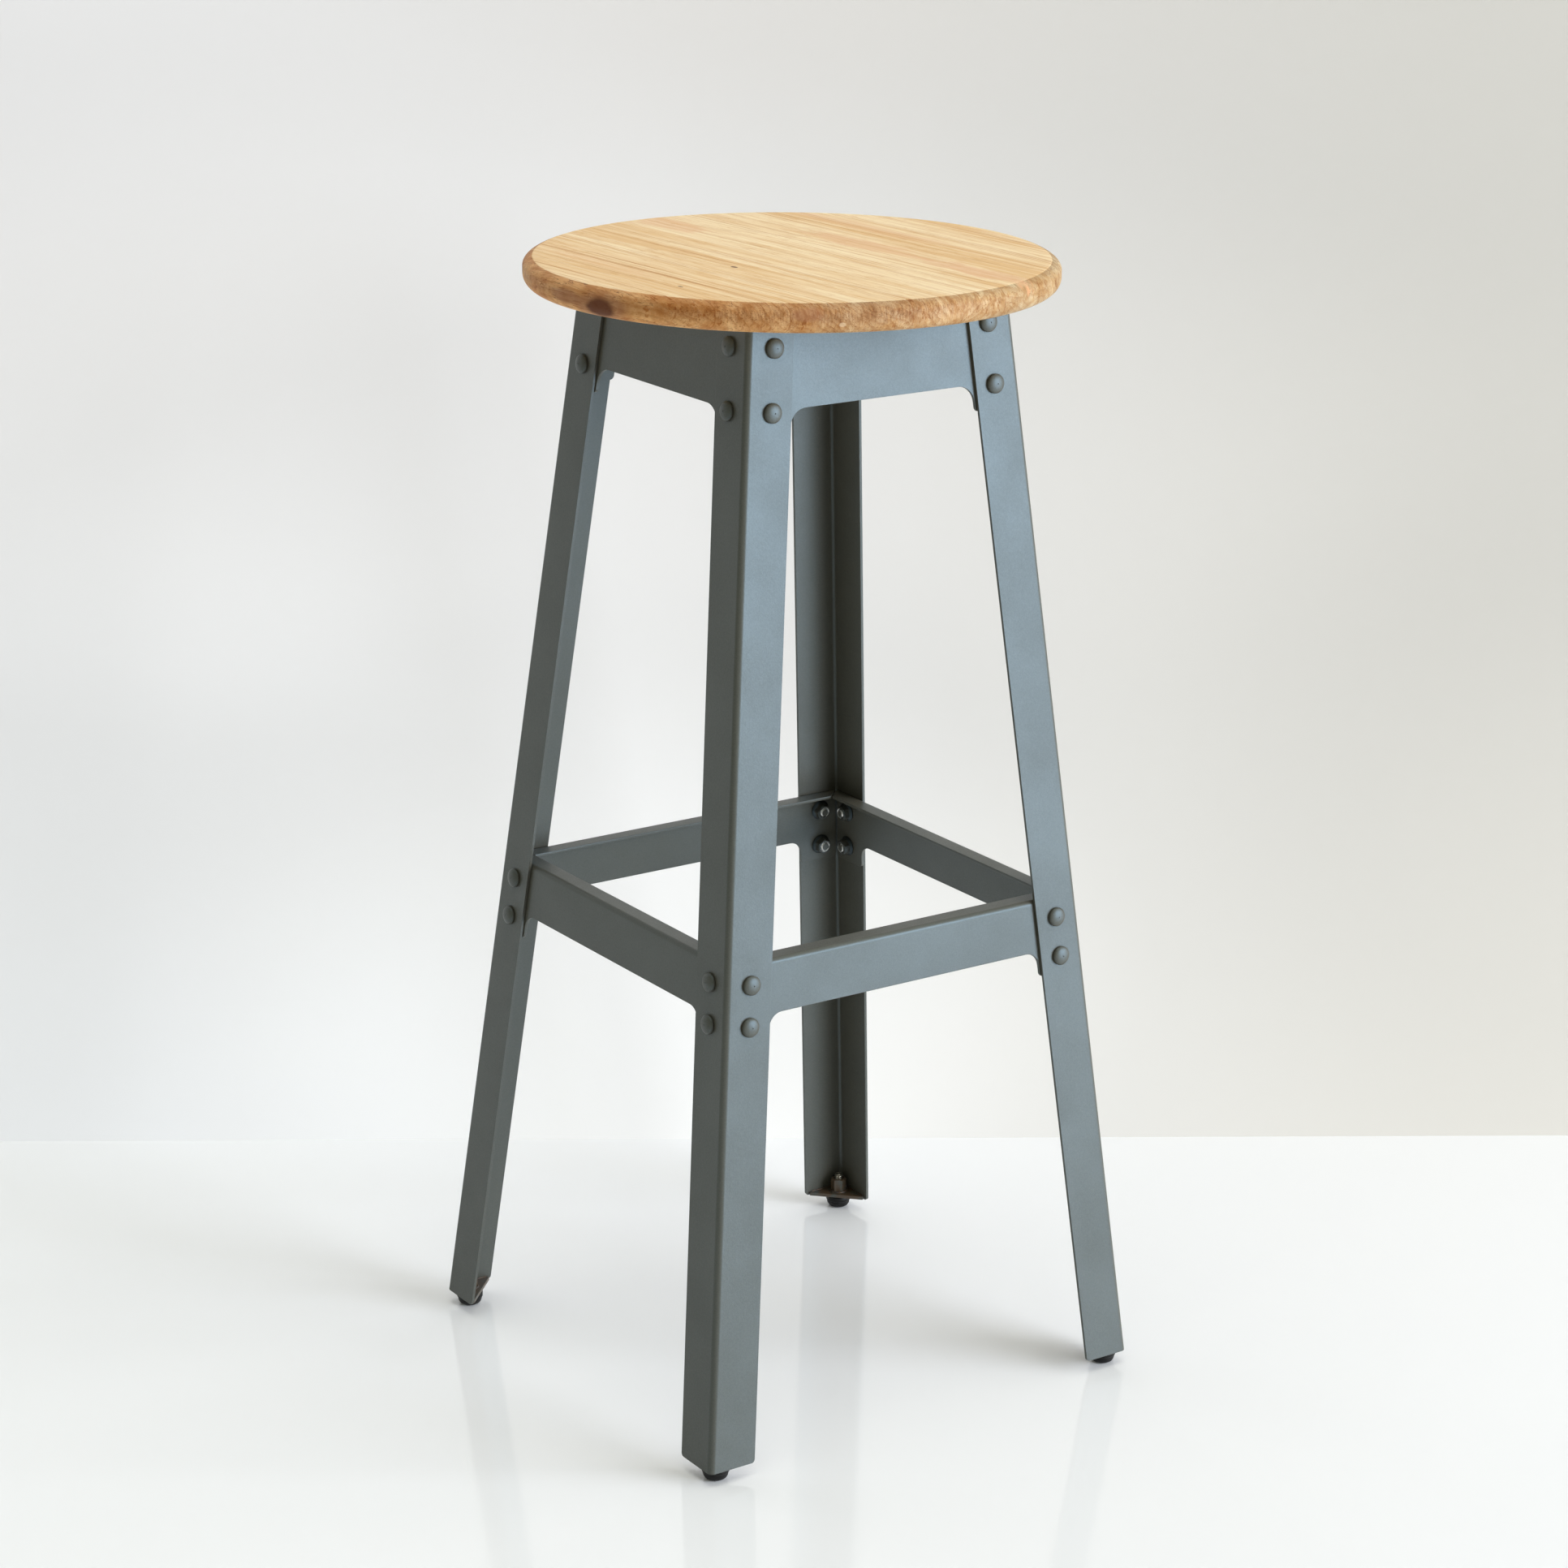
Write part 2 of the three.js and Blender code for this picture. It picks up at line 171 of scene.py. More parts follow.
def rounded(corners, steps=6):
    """The outline through corners (x, y, radius), with each corner turned into an arc."""
    points = []
    for i, (x, y, radius) in enumerate(corners):
        corner = Vector((x, y))
        if not radius:
            points.append(corner)
            continue
        before = (Vector(corners[i - 1][:2]) - corner).normalized()
        after = (Vector(corners[(i + 1) % len(corners)][:2]) - corner).normalized()
        half_angle = before.angle(after) / 2
        centre = corner + (before + after).normalized() * radius / math.sin(half_angle)
        spoke = corner + before * radius / math.tan(half_angle) - centre
        turn = math.copysign(math.pi - 2 * half_angle, -before.cross(after))
        for k in range(steps + 1):
            points.append(centre + Matrix.Rotation(turn * k / steps, 2) @ spoke)
    return points


def mesh_of(name, points, faces):
    mesh = bpy.data.meshes.new(name)
    mesh.from_pydata([tuple(p) for p in points], [], faces)
    return mesh


def merged(name, polygons):
    """One mesh from lists of points, joined where they meet."""
    points = [p for polygon in polygons for p in polygon]
    faces = []
    for polygon in polygons:
        start = sum(len(face) for face in faces)
        faces.append(list(range(start, start + len(polygon))))
    mesh = mesh_of(name, points, faces)
    shape = bmesh.new()
    shape.from_mesh(mesh)
    bmesh.ops.remove_doubles(shape, verts=shape.verts, dist=0.001 * MM)
    shape.to_mesh(mesh)
    shape.free()
    return mesh


def baked(mesh, modifiers):
    """The mesh with modifiers (kind, settings) applied."""
    helper = bpy.data.objects.new("helper", mesh)
    bpy.context.scene.collection.objects.link(helper)
    for kind, settings in modifiers:
        modifier = helper.modifiers.new(kind.lower(), kind)
        for key, value in settings.items():
            setattr(modifier, key, value)
    shown = helper.evaluated_get(bpy.context.evaluated_depsgraph_get())
    result = bpy.data.meshes.new_from_object(shown)
    result.name = mesh.name
    bpy.data.objects.remove(helper)
    return result


def cut(mesh, cutters):
    """The mesh with cutters, a list of closed meshes that don't touch each other, taken out."""
    cutter = bpy.data.objects.new("cutter", joined(cutters))
    bpy.context.scene.collection.objects.link(cutter)
    result = baked(mesh, [("BOOLEAN", {"object": cutter, "solver": "EXACT"})])
    bpy.data.objects.remove(cutter)
    return result


def joined(meshes):
    shape = bmesh.new()
    for mesh in meshes:
        shape.from_mesh(mesh)
    result = bpy.data.meshes.new("joined")
    shape.to_mesh(result)
    shape.free()
    return result


def softened(mesh, width):
    """The mesh with its sharp edges rounded off and its flat faces shaded flat."""
    mesh.shade_smooth()
    bevel = {
        "width": width,
        "segments": 2,
        "limit_method": "ANGLE",
        "angle_limit": math.radians(40),
        "miter_outer": "MITER_ARC",
    }
    return baked(mesh, [("BEVEL", bevel), ("WEIGHTED_NORMAL", {"keep_sharp": True})])


def folded(name, skin, cutters):
    """A folded sheet, from the polygons of its outer skin, with its holes and soft edges."""
    thick = {"thickness": STEEL, "offset": -1, "use_even_offset": True}
    sheet = baked(merged(name, skin), [("SOLIDIFY", thick)])
    return softened(cut(sheet, cutters), 0.35 * MM)


def rod(radius, low, high, segments=24):
    """A plain rod on the Z axis, to cut holes with."""
    spoke = Vector((radius, 0))
    circle = [Matrix.Rotation(math.tau * k / segments, 2) @ spoke for k in range(segments)]
    rings = [[(p.x, p.y, z) for p in circle] for z in (low, high)]
    return skinned("rod", rings)


def skinned(name, rings, looped=False):
    """A mesh through rings of equally many points, looped round or else capped at its ends."""
    count = len(rings[0])
    points = [p for ring in rings for p in ring]
    last = len(points) - count
    faces = [] if looped else [tuple(reversed(range(count)))]
    for low in range(0, len(points) if looped else last, count):
        high = (low + count) % len(points)
        for i in range(count):
            j = (i + 1) % count
            faces.append((low + i, low + j, high + j, high + i))
    if not looped:
        faces.append(tuple(range(last, len(points))))
    return mesh_of(name, points, faces)


def shaded(mesh, sharp):
    """The mesh, smooth but for its edges sharper than an angle in degrees."""
    mesh.shade_smooth()
    mesh.set_sharp_from_angle(angle=math.radians(sharp))
    return mesh


def groove(z, turn):
    """The depth of an M6 thread at a height and a share of a turn."""
    phase = (z / THREAD_PITCH - turn) % 1
    return THREAD_DEPTH * max(0, min(1, 1.7 * (1 - abs(2 * phase - 1)) - 0.2))


def lathe(name, profile, segments=48, thread=None, shape=None, sharp=35):
    """A closed turned body from a profile of (radius, z) that starts and ends on the axis.

    thread is the heights between which its skin is threaded, and shape(radius, z, angle) can
    move the other points in or out."""
    points = [(0, 0, profile[0][1])]
    for radius, z in profile[1:-1]:
        for k in range(segments):
            angle = math.tau * k / segments
            there = shape(radius, z, angle) if shape else radius
            if thread and thread[0] <= z <= thread[1]:
                there -= groove(z, k / segments)
            points.append((there * math.cos(angle), there * math.sin(angle), z))
    points.append((0, 0, profile[-1][1]))
    last = len(points) - 1
    faces = []
    for k in range(segments):
        j = (k + 1) % segments
        faces.append((0, 1 + j, 1 + k))
        for ring in range(1, last - segments, segments):
            faces.append((ring + k, ring + j, ring + segments + j, ring + segments + k))
        faces.append((last - segments + k, last - segments + j, last))
    return shaded(mesh_of(name, points, faces), sharp)


def arc(radius, z, across, height, start, end, steps):
    """Profile points round a centre (radius, z), from one angle to another, in degrees."""
    angles = [math.radians(start + (end - start) * k / steps) for k in range(steps + 1)]
    return [(radius + across * math.cos(a), z + height * math.sin(a)) for a in angles]


def ring_mesh(name, profile, segments, shape):
    """A ring from a closed profile of (radius, z), listed anticlockwise, moved by shape."""
    count = len(profile)
    points = []
    for k in range(segments):
        angle = math.tau * k / segments
        for radius, z in profile:
            there, height = shape(radius, z, angle)
            points.append((there * math.cos(angle), there * math.sin(angle), height))
    faces = []
    for k in range(segments):
        here, there = k * count, (k + 1) % segments * count
        for i in range(count):
            j = (i + 1) % count
            faces.append((here + i, there + i, there + j, here + j))
    return shaded(mesh_of(name, points, faces), 35)


def hex_nut(name, flats, low, high, bore, flange=None):
    """A hexagon nut on the Z axis, chamfered and countersunk.

    flange is the radius and height of a washer face at its high end. The profile is round, and
    its points between the flats and the corners are then moved out to the hexagon."""
    apothem = flats / 2
    corner_reach = 1.13 * apothem
    outside_corners = 1.16 * apothem
    chamfer_start = 0.94 * apothem
    chamfer_slope = math.tan(math.radians(30))
    sink = 0.5 * MM

    def hexagon(radius, z, angle):
        if radius < apothem or radius > outside_corners:
            return radius, z
        off_flat = (angle % (math.pi / 3)) - math.pi / 6
        corner = min(apothem / math.cos(off_flat), corner_reach)
        drop = (corner - chamfer_start) * chamfer_slope
        return corner, high - drop if z > high - 2 * sink else max(z, low + drop)

    top = [(apothem, high - sink), (chamfer_start, high)]
    if flange:
        reach, height = flange
        top = [
            (1.02 * apothem, high - height - 0.5 * MM),
            (outside_corners + 0.01 * apothem, high - height),
            (reach - 0.25 * MM, high - 0.75 * MM),
            (reach, high - 0.5 * MM),
            (reach, high - 0.15 * MM),
            (reach - 0.15 * MM, high),
        ]
    profile = [
        (bore, low + sink),
        (bore + sink, low),
        (chamfer_start, low),
        (apothem, low + sink),
        *top,
        (bore + sink, high),
        (bore, high - sink),
    ]
    return ring_mesh(name, profile, 72, hexagon)


def bead(name, path, radius, looped=False):
    """A weld bead along a path: a rippled, uneven tube."""
    sides = 10
    rings = []
    for i, point in enumerate(path):
        ahead = path[(i + 1) % len(path)] if looped or i + 1 < len(path) else point
        behind = path[i - 1] if looped or i else point
        along = (ahead - behind).normalized()
        side = along.cross(Vector((0, 0, 1))).normalized()
        up = side.cross(along)
        ripple = 0.16 * math.sin(i * 1.9)
        lump = 0.3 * noise.noise(point * 700)
        swell = 1 + ripple + lump
        if not looped:
            from_end = min(i, len(path) - 1 - i)
            swell *= min(1, 0.35 + 0.3 * from_end)
        ring = []
        for k in range(sides):
            angle = math.tau * k / sides
            ring.append(point + (side * math.cos(angle) + up * math.sin(angle)) * radius * swell)
        rings.append(ring)
    mesh = skinned(name, rings, looped)
    mesh.shade_smooth()
    return mesh


# ---- Materials -------------------------------------------------------------------------------


class Graph:
    """A material's nodes. Each call adds a node and gives back the output that the next one takes."""

    def __init__(self, name):
        self.material = bpy.data.materials.new(name)
        self.material.use_nodes = True
        self.tree = self.material.node_tree
        self.tree.nodes.clear()

    def node(self, kind, inputs, **settings):
        made = self.tree.nodes.new("ShaderNode" + kind)
        for key, value in settings.items():
            setattr(made, key, value)
        for key, value in inputs.items():
            if isinstance(value, bpy.types.NodeSocket):
                self.tree.links.new(value, made.inputs[key])
            else:
                made.inputs[key].default_value = value
        return made

    def place(self, scale=(1, 1, 1), turn=0.0):
        """The object's own coordinates in millimetres, turned about Z and then scaled."""
        source = self.node("TexCoord", {}).outputs["Object"]
        if turn:
            source = self.node("Mapping", {"Vector": source, "Rotation": (0, 0, turn)}).outputs[0]
        scale = [s / MM for s in scale]
        return self.node("Mapping", {"Vector": source, "Scale": scale}).outputs[0]

    def noise(self, vector, scale=1.0, detail=2.0, roughness=0.5, shift=None):
        inputs = {"Vector": vector, "Scale": scale, "Detail": detail, "Roughness": roughness}
        if shift is not None:
            inputs["W"] = shift
        dimensions = "3D" if shift is None else "4D"
        return self.node("TexNoise", inputs, noise_dimensions=dimensions).outputs[0]

    def math(self, operation, first, second=0.0, third=0.0):
        inputs = {0: first, 1: second, 2: third}
        return self.node("Math", inputs, operation=operation).outputs[0]

    def linear(self, value, slope, start):
        return self.math("MULTIPLY_ADD", value, slope, start)

    def times(self, *factors):
        product = factors[0]
        for factor in factors[1:]:
            product = self.math("MULTIPLY", product, factor)
        return product

    def diagonal(self, first, second):
        squares = [self.math("POWER", side, 2) for side in (first, second)]
        return self.math("SQRT", self.math("ADD", *squares))

    def parts(self, vector):
        return self.node("SeparateXYZ", {0: vector}).outputs

    def spread(self, value, low, high, to_low=0.0, to_high=1.0):
        """value smoothly stretched from low..high to to_low..to_high, and held there beyond."""
        inputs = {"Value": value, 1: low, 2: high, 3: to_low, 4: to_high}
        made = self.node("MapRange", inputs, interpolation_type="SMOOTHSTEP")
        return made.outputs[0]

    def mix(self, factor, first, second, blend="MIX"):
        """Two colours mixed."""
        inputs = {0: factor, 6: first, 7: second}
        made = self.node("Mix", inputs, data_type="RGBA", blend_type=blend)
        return made.outputs[2]

    def bump(self, height, distance, strength=1.0, under=None):
        inputs = {"Height": height, "Distance": distance, "Strength": strength}
        if under is not None:
            inputs["Normal"] = under
        return self.node("Bump", inputs).outputs[0]

    def finish(self, **inputs):
        """Ends in a Principled shader. Input names have _ for a space."""
        named = {key.replace("_", " "): value for key, value in inputs.items()}
        shader = self.node("BsdfPrincipled", named)
        self.node("OutputMaterial", {"Surface": shader.outputs[0]})
        return self.material


def colour(red, green, blue):
    return (red, green, blue, 1.0)


PAINT_DARK = colour(0.066, 0.061, 0.046)
PAINT_LIGHT = colour(0.087, 0.081, 0.062)
PAINT_GLOSS = colour(0.55, 0.82, 1.0)
RUST = colour(0.085, 0.052, 0.027)
# Painted shade on a nut's flange, where it meets the web.
FLANGE_SHADE = colour(0.3, 0.3, 0.3)
BARE_METAL = colour(0.80, 0.80, 0.78)


def rubbed_bright(g, place, shift, below):
    """How bare the thread's crests and the nut's mouth are, under the height below."""
    x, y, z = g.parts(place)
    from_axis = g.diagonal(x, y)
    crests = g.spread(from_axis, 2.3, 2.6)
    mouth = g.spread(from_axis, 4.0, 3.6)
    low = g.spread(z, below / MM + 0.6, below / MM)
    patchy = g.spread(g.noise(place, 0.20, 2, 0.6, shift), 0.44, 0.52)
    return g.times(crests, mouth, low, patchy)


def paint(name, shade=1.0, rust=False, worn_below=None, shaded_above=None):
    """Slate grey powder coat: finely speckled and a little uneven, with a slight orange peel.

    On a bolt's axis, the thread's crests and the nut's mouth are rubbed bright below worn_below,
    and above shaded_above the nut's flange is darkened: painted shade where it meets the web."""
    g = Graph(name)
    shift = g.times(g.node("ObjectInfo", {}).outputs["Random"], 90)
    place = g.place()
    clouds = g.noise(place, 0.018, 3, 0.55, shift)
    speckle = g.noise(place, 1.1, 3, 0.75, shift)
    peel = g.noise(place, 0.55, 2, 0.5, shift)
    tone = g.linear(speckle, 2.4, g.linear(clouds, 0.8, -1.1))
    dark = colour(*(shade * part for part in PAINT_DARK[:3]))
    light = colour(*(shade * part for part in PAINT_LIGHT[:3]))
    tint = g.mix(tone, dark, light)
    roughness = g.spread(g.math("ADD", clouds, speckle), 0.7, 1.3, 0.47, 0.38)
    if rust:
        stain = g.spread(g.noise(place, 0.16, 4, 0.6, shift), 0.34, 0.56)
        tint = g.mix(stain, tint, RUST)
    bare = 0.0
    if worn_below is not None:
        bare = rubbed_bright(g, place, shift, worn_below)
        tint = g.mix(bare, tint, BARE_METAL)
    if shaded_above is not None:
        # Painted shade: the nut's flange is darkened where it meets the web.
        height = g.parts(place)[2]
        flange_shade = g.spread(height, shaded_above / MM - 0.8, shaded_above / MM + 0.3)
        tint = g.mix(flange_shade, tint, FLANGE_SHADE, "MULTIPLY")
    normal = g.bump(speckle, 0.05 * MM, 0.5, g.bump(peel, 0.07 * MM, 0.5))
    return g.finish(
        Base_Color=tint,
        Metallic=bare,
        Roughness=roughness,
        Normal=normal,
        Specular_IOR_Level=0.62,
        Specular_Tint=PAINT_GLOSS,
    )


def weld_metal():
    """Heat-stained weld metal: brown and blue-grey scale."""
    g = Graph("weld_metal")
    place = g.place()
    scale = g.noise(place, 0.5, 4, 0.65)
    tint = g.mix(g.spread(scale, 0.4, 0.62), colour(0.10, 0.058, 0.03), colour(0.055, 0.052, 0.05))
    normal = g.bump(g.noise(place, 2.2, 3, 0.6), 0.15 * MM, 0.6)
    return g.finish(Base_Color=tint, Roughness=0.5, Normal=normal, Metallic=0.35)


def bare_steel(name, tint, worn):
    """Zinc-plated steel, duller in patches and scratched round the thread."""
    g = Graph(name)
    place = g.place()
    blotch = g.noise(place, 0.35, 4, 0.6)
    scratch = g.noise(g.place(scale=(0.6, 0.6, 6)), 1.0, 3, 0.7)
    base = g.mix(g.spread(blotch, 0.35, 0.65), tint, worn)
    roughness = g.spread(g.math("ADD", blotch, scratch), 0.7, 1.3, 0.22, 0.5)
    normal = g.bump(scratch, 0.04 * MM, 0.5)
    return g.finish(Base_Color=base, Roughness=roughness, Normal=normal, Metallic=1.0)


def moulded_plastic():
    """Black moulded plastic with a fine spark-eroded skin and some dust."""
    g = Graph("black_plastic")
    place = g.place()
    skin = g.noise(place, 2.4, 2, 0.6)
    dust = g.spread(g.noise(place, 0.22, 5, 0.7), 0.52, 0.75)
    tint = g.mix(dust, colour(0.005, 0.005, 0.005), colour(0.018, 0.016, 0.015))
    roughness = g.spread(skin, 0.3, 0.7, 0.36, 0.52)
    normal = g.bump(skin, 0.05 * MM, 0.5)
    return g.finish(Base_Color=tint, Roughness=roughness, Normal=normal, Specular_IOR_Level=0.25)


# The wood: edge-glued staves of a pale hardwood. The grain runs nearly front to back.
GRAIN_ANGLE = math.radians(-87)
STAVE_WIDTH = 47  # mm, on average
# WOOD_PALE and WOOD_TAN are a little bluer than the bare wood: a painted bluish sheen, in place of the
# key light's reflection in a glossier finish.
WOOD_PALE = colour(0.885, 0.715, 0.475)
WOOD_TAN = colour(0.73, 0.475, 0.23)
WOOD_LINE = colour(0.52, 0.250, 0.085)
WOOD_DEEP = colour(0.12, 0.035, 0.012)
WOOD_PINK = colour(0.68, 0.345, 0.175)
WOOD_RUSSET = colour(0.34, 0.145, 0.070)

# The rim is the wood's colour times these: its mottling, whose colours also carry a painted
# bluish sheen, its painted light and shade from left to right, the painted shade on its
# shoulder and the ticks of its cut fibres.
RIM_DEEP_AND_SHEEN = colour(0.74, 0.54, 0.37)
RIM_PALE_AND_SHEEN = colour(0.985, 0.857, 0.73)
# Painted light and shade across the rim, from left to right.
RIM_LEFT = colour(1.04, 0.90, 0.71)
RIM_FRONT = colour(0.69, 0.70, 0.70)
RIM_RIGHT = colour(0.60, 0.70, 0.80)
# Painted shade on the rim's shoulder.
SHOULDER_SHADE = colour(0.80, 0.78, 0.82)
TICK_PALE = colour(1.08, 1.05, 1.0)
TICK_DARK = colour(0.74, 0.64, 0.56)

# Marks in the wood, and one painted sheen: middle in millimetres, half-sizes along the grain,
# across it and upright, how strong the mark is, and its colour.
WOOD_MARKS = (
    ((-167, -38, 739), (28, 14, 11), 0.65, WOOD_RUSSET),
    ((-168, -38, 738.5), (14.5, 12, 8), 0.92, WOOD_DEEP),
    ((-171, -5, 741), (22, 14, 6), 0.60, WOOD_RUSSET),
    ((-172, 40, 747), (16, 12, 3), 0.35, WOOD_LINE),
    ((-56, -18, 750), (3.6, 2.0, 3), 0.95, WOOD_DEEP),
    ((-121, -57, 750), (3.0, 1.3, 2), 0.90, WOOD_DEEP),
    ((-88, -147, 744), (10, 14, 5), 0.55, WOOD_RUSSET),
    ((-70, -157, 737.5), (2.6, 3, 2), 0.35, WOOD_PALE),
    # Not a mark in the wood: a painted sheen at the far left of the rim.
    ((-160, 64, 739), (24, 16, 12), 0.35, WOOD_TAN),
    ((65, -112, 750), (56, 14, 12), 0.55, WOOD_PINK),
    ((60, 8, 750), (75, 15, 12), 0.40, WOOD_PINK),
    ((100, 60, 750), (110, 11, 12), 0.25, WOOD_PINK),
    ((-5, 140, 750), (50, 17, 12), 0.40, WOOD_PINK),
    ((-120, 40, 750), (80, 9, 12), 0.18, WOOD_PINK),
)


def grain_noise(g, scale, detail, roughness, shift=None):
    """Noise drawn out along the grain, with scale given along it, across it and upright."""
    return g.noise(g.place(scale, -GRAIN_ANGLE), 1.0, detail, roughness, shift)


class Staves:
    """Which stave a point is in, its place across that stave, and the stave's own luck."""

    def __init__(self, g, across):
        steady = g.math("DIVIDE", across, STAVE_WIDTH)
        sway = g.math("SINE", g.times(steady, 2.3))
        uneven = g.linear(sway, 0.24, steady)
        from_middle = g.math("SUBTRACT", g.math("FRACT", uneven), 0.5)
        self.number = g.math("FLOOR", uneven)
        self.from_middle = g.times(from_middle, STAVE_WIDTH)
        self.seam = g.spread(g.math("ABSOLUTE", from_middle), 0.486, 0.497, 0.0, 0.55)
        luck = g.node("TexWhiteNoise", {"W": self.number}, noise_dimensions="1D").outputs["Color"]
        self.luck = g.parts(luck)


class Grain:
    """Bands, streaks, lines, fibres, pores and ticks, all drawn out along the grain."""

    def __init__(self, g, stave):
        self.bands = grain_noise(g, (0.004, 0.055, 0.05), 3, 0.55, stave)
        self.streaks = grain_noise(g, (0.006, 0.21, 0.15), 4, 0.65, stave)
        self.lines = grain_noise(g, (0.0035, 0.62, 0.25), 2, 0.5, stave)
        self.fibres = grain_noise(g, (0.03, 1.0, 1.1), 4, 0.7)
        self.patches = grain_noise(g, (0.012, 0.06, 0.06), 2, 0.5)
        self.ticks = grain_noise(g, (0.12, 0.85, 0.16), 3, 0.7)
        pits = grain_noise(g, (0.07, 1.2, 1.5), 2, 0.6)
        self.pores = g.times(g.spread(pits, 0.56, 0.68), g.spread(self.patches, 0.36, 0.60, 0.25, 1.0))


def growth_rings(g, staves, rise):
    """Dark latewood bands, round a heart that lies below each stave."""
    drift = grain_noise(g, (0.006, 0.03, 0.03), 3, 0.5, staves.number)
    wave = grain_noise(g, (0.05, 0.12, 0.12), 2, 0.5, staves.number)
    heart_side = g.linear(staves.luck[0], -130, 65)
    heart_depth = g.linear(staves.luck[1], 60, 30)
    side = g.math("ADD", staves.from_middle, heart_side)
    depth = g.math("ADD", rise, heart_depth)
    radius = g.diagonal(side, depth)
    radius = g.linear(drift, 26, radius)
    radius = g.linear(wave, 3, radius)
    spacing = g.linear(staves.luck[2], 2.6, 3.2)
    phase = g.math("FRACT", g.math("DIVIDE", radius, spacing))
    return g.times(g.spread(phase, 0.35, 0.9), g.spread(phase, 1.0, 0.93))


def rim_and_ends(g, ticks):
    """Where the rim is, with a frayed arris, and where a face cuts through the fibres."""
    normal = g.node("TexCoord", {}).outputs["Normal"]
    upright = g.parts(normal)[2]
    frayed = g.linear(ticks, 0.05, g.math("ABSOLUTE", upright))
    rim = g.math("SUBTRACT", 1.0, g.spread(frayed, 0.968, 1.005))
    grain_way = (math.cos(GRAIN_ANGLE), math.sin(GRAIN_ANGLE), 0)
    towards = g.node("VectorMath", {0: normal, 1: grain_way}, operation="DOT_PRODUCT").outputs[1]
    return rim, g.spread(g.math("ABSOLUTE", towards), 0.30, 0.75)


def figure(g, staves, grain, late, rim):
    """The wood's own colour: pale, with tan bands and darker rings, lines, seams and pores."""
    streaks = g.spread(grain.streaks, 0.42, 0.62, 0.0, 0.60)
    tone = g.linear(g.spread(grain.bands, 0.40, 0.62), 0.50, streaks)
    tone = g.linear(staves.luck[1], 0.16, tone)
    tint = g.mix(tone, WOOD_PALE, WOOD_TAN)
    ring_depth = g.linear(rim, 0.22, g.spread(grain.patches, 0.3, 0.65, 0.04, 0.17))
    tint = g.mix(g.times(late, ring_depth), tint, WOOD_LINE)
    tint = g.mix(g.spread(grain.fibres, 0.52, 0.72, 0.0, 0.46), tint, WOOD_LINE)
    line_depth = g.spread(grain.bands, 0.40, 0.60, 0.35, 0.95)
    tint = g.mix(g.times(g.spread(grain.lines, 0.595, 0.635), line_depth), tint, WOOD_LINE)
    tint = g.mix(staves.seam, tint, WOOD_LINE)
    tint = g.mix(g.times(grain.pores, 0.5), tint, WOOD_LINE)
    return g.mix(g.times(grain.pores, rim, 0.35), tint, WOOD_DEEP)


def with_rim_finish(g, tint, rim, blotch, across, rise):
    """The rim: darker where it drinks more of the finish, in colours that also carry a painted
    bluish sheen, with painted light and shade from left to right and painted shade on its
    shoulder at the left.
    """
    # Darker where the rim drinks more of the finish, with a painted bluish sheen in these colours.
    finish_and_sheen = g.mix(g.spread(blotch, 0.35, 0.65), RIM_DEEP_AND_SHEEN, RIM_PALE_AND_SHEEN)
    tint = g.mix(rim, tint, finish_and_sheen, "MULTIPLY")
    # Painted light and shade across the rim: warmer and brighter at the left, darker and bluer at the
    # right where the key light falls.
    painted_light_across = g.mix(g.spread(across, -165, -50), RIM_LEFT, RIM_FRONT)
    painted_light_across = g.mix(g.spread(across, -40, 60), painted_light_across, RIM_RIGHT)
    tint = g.mix(rim, tint, painted_light_across, "MULTIPLY")
    # Painted shade on the upper part of the rim, towards the left; the lower part stays lighter.
    shoulder = g.times(rim, g.spread(rise, -6, 2), g.spread(across, 20, -60))
    return g.mix(shoulder, tint, SHOULDER_SHADE, "MULTIPLY")


def with_ticks(g, tint, on_ends, ticks, across, rise):
    """The cut ends of the fibres are short upright ticks, strongest on the shoulder."""
    ends = g.mix(g.spread(ticks, 0.38, 0.62), TICK_PALE, TICK_DARK)
    strength = g.times(g.spread(rise, -6, 4, 0.3, 1.0), g.spread(across, 60, -60, 0.4, 1.0))
    return g.mix(g.times(on_ends, strength), tint, ends, "MULTIPLY")


def with_checks(g, tint, on_sides, blotch):
    """Wavy dark checks, in patches along the sides of the fibres."""
    wavy = grain_noise(g, (0.030, 0.12, 0.26), 3, 0.6)
    check = g.spread(g.math("ABSOLUTE", g.math("SUBTRACT", wavy, 0.5)), 0.014, 0.003)
    patches = g.spread(blotch, 0.46, 0.56, 0.0, 0.75)
    return g.mix(g.times(check, patches, on_sides), tint, WOOD_DEEP)


def with_marks(g, tint, place):
    """The wood's colour with its knots, flecks, stained streaks and one painted sheen, the long ones
    more frayed.
    """
    rough = grain_noise(g, (0.022, 0.16, 0.14), 3, 0.6)
    for middle, reach, strength, mark_colour in WOOD_MARKS:
        centre = Matrix.Rotation(-GRAIN_ANGLE, 3, "Z") @ Vector(middle)
        scale = [1 / r for r in reach]
        location = [-c * s for c, s in zip(centre, scale)]
        shape = g.node("Mapping", {"Vector": place, "Location": location, "Scale": scale})
        far = g.node("VectorMath", {0: shape.outputs[0]}, operation="LENGTH").outputs[1]
        fray = 1.6 if reach[0] > 40 else 0.6
        ragged = g.linear(rough, fray, g.math("ADD", far, -fray / 2))
        tint = g.mix(g.spread(ragged, 1.0, 0.55, 0.0, strength), tint, mark_colour)
    return tint


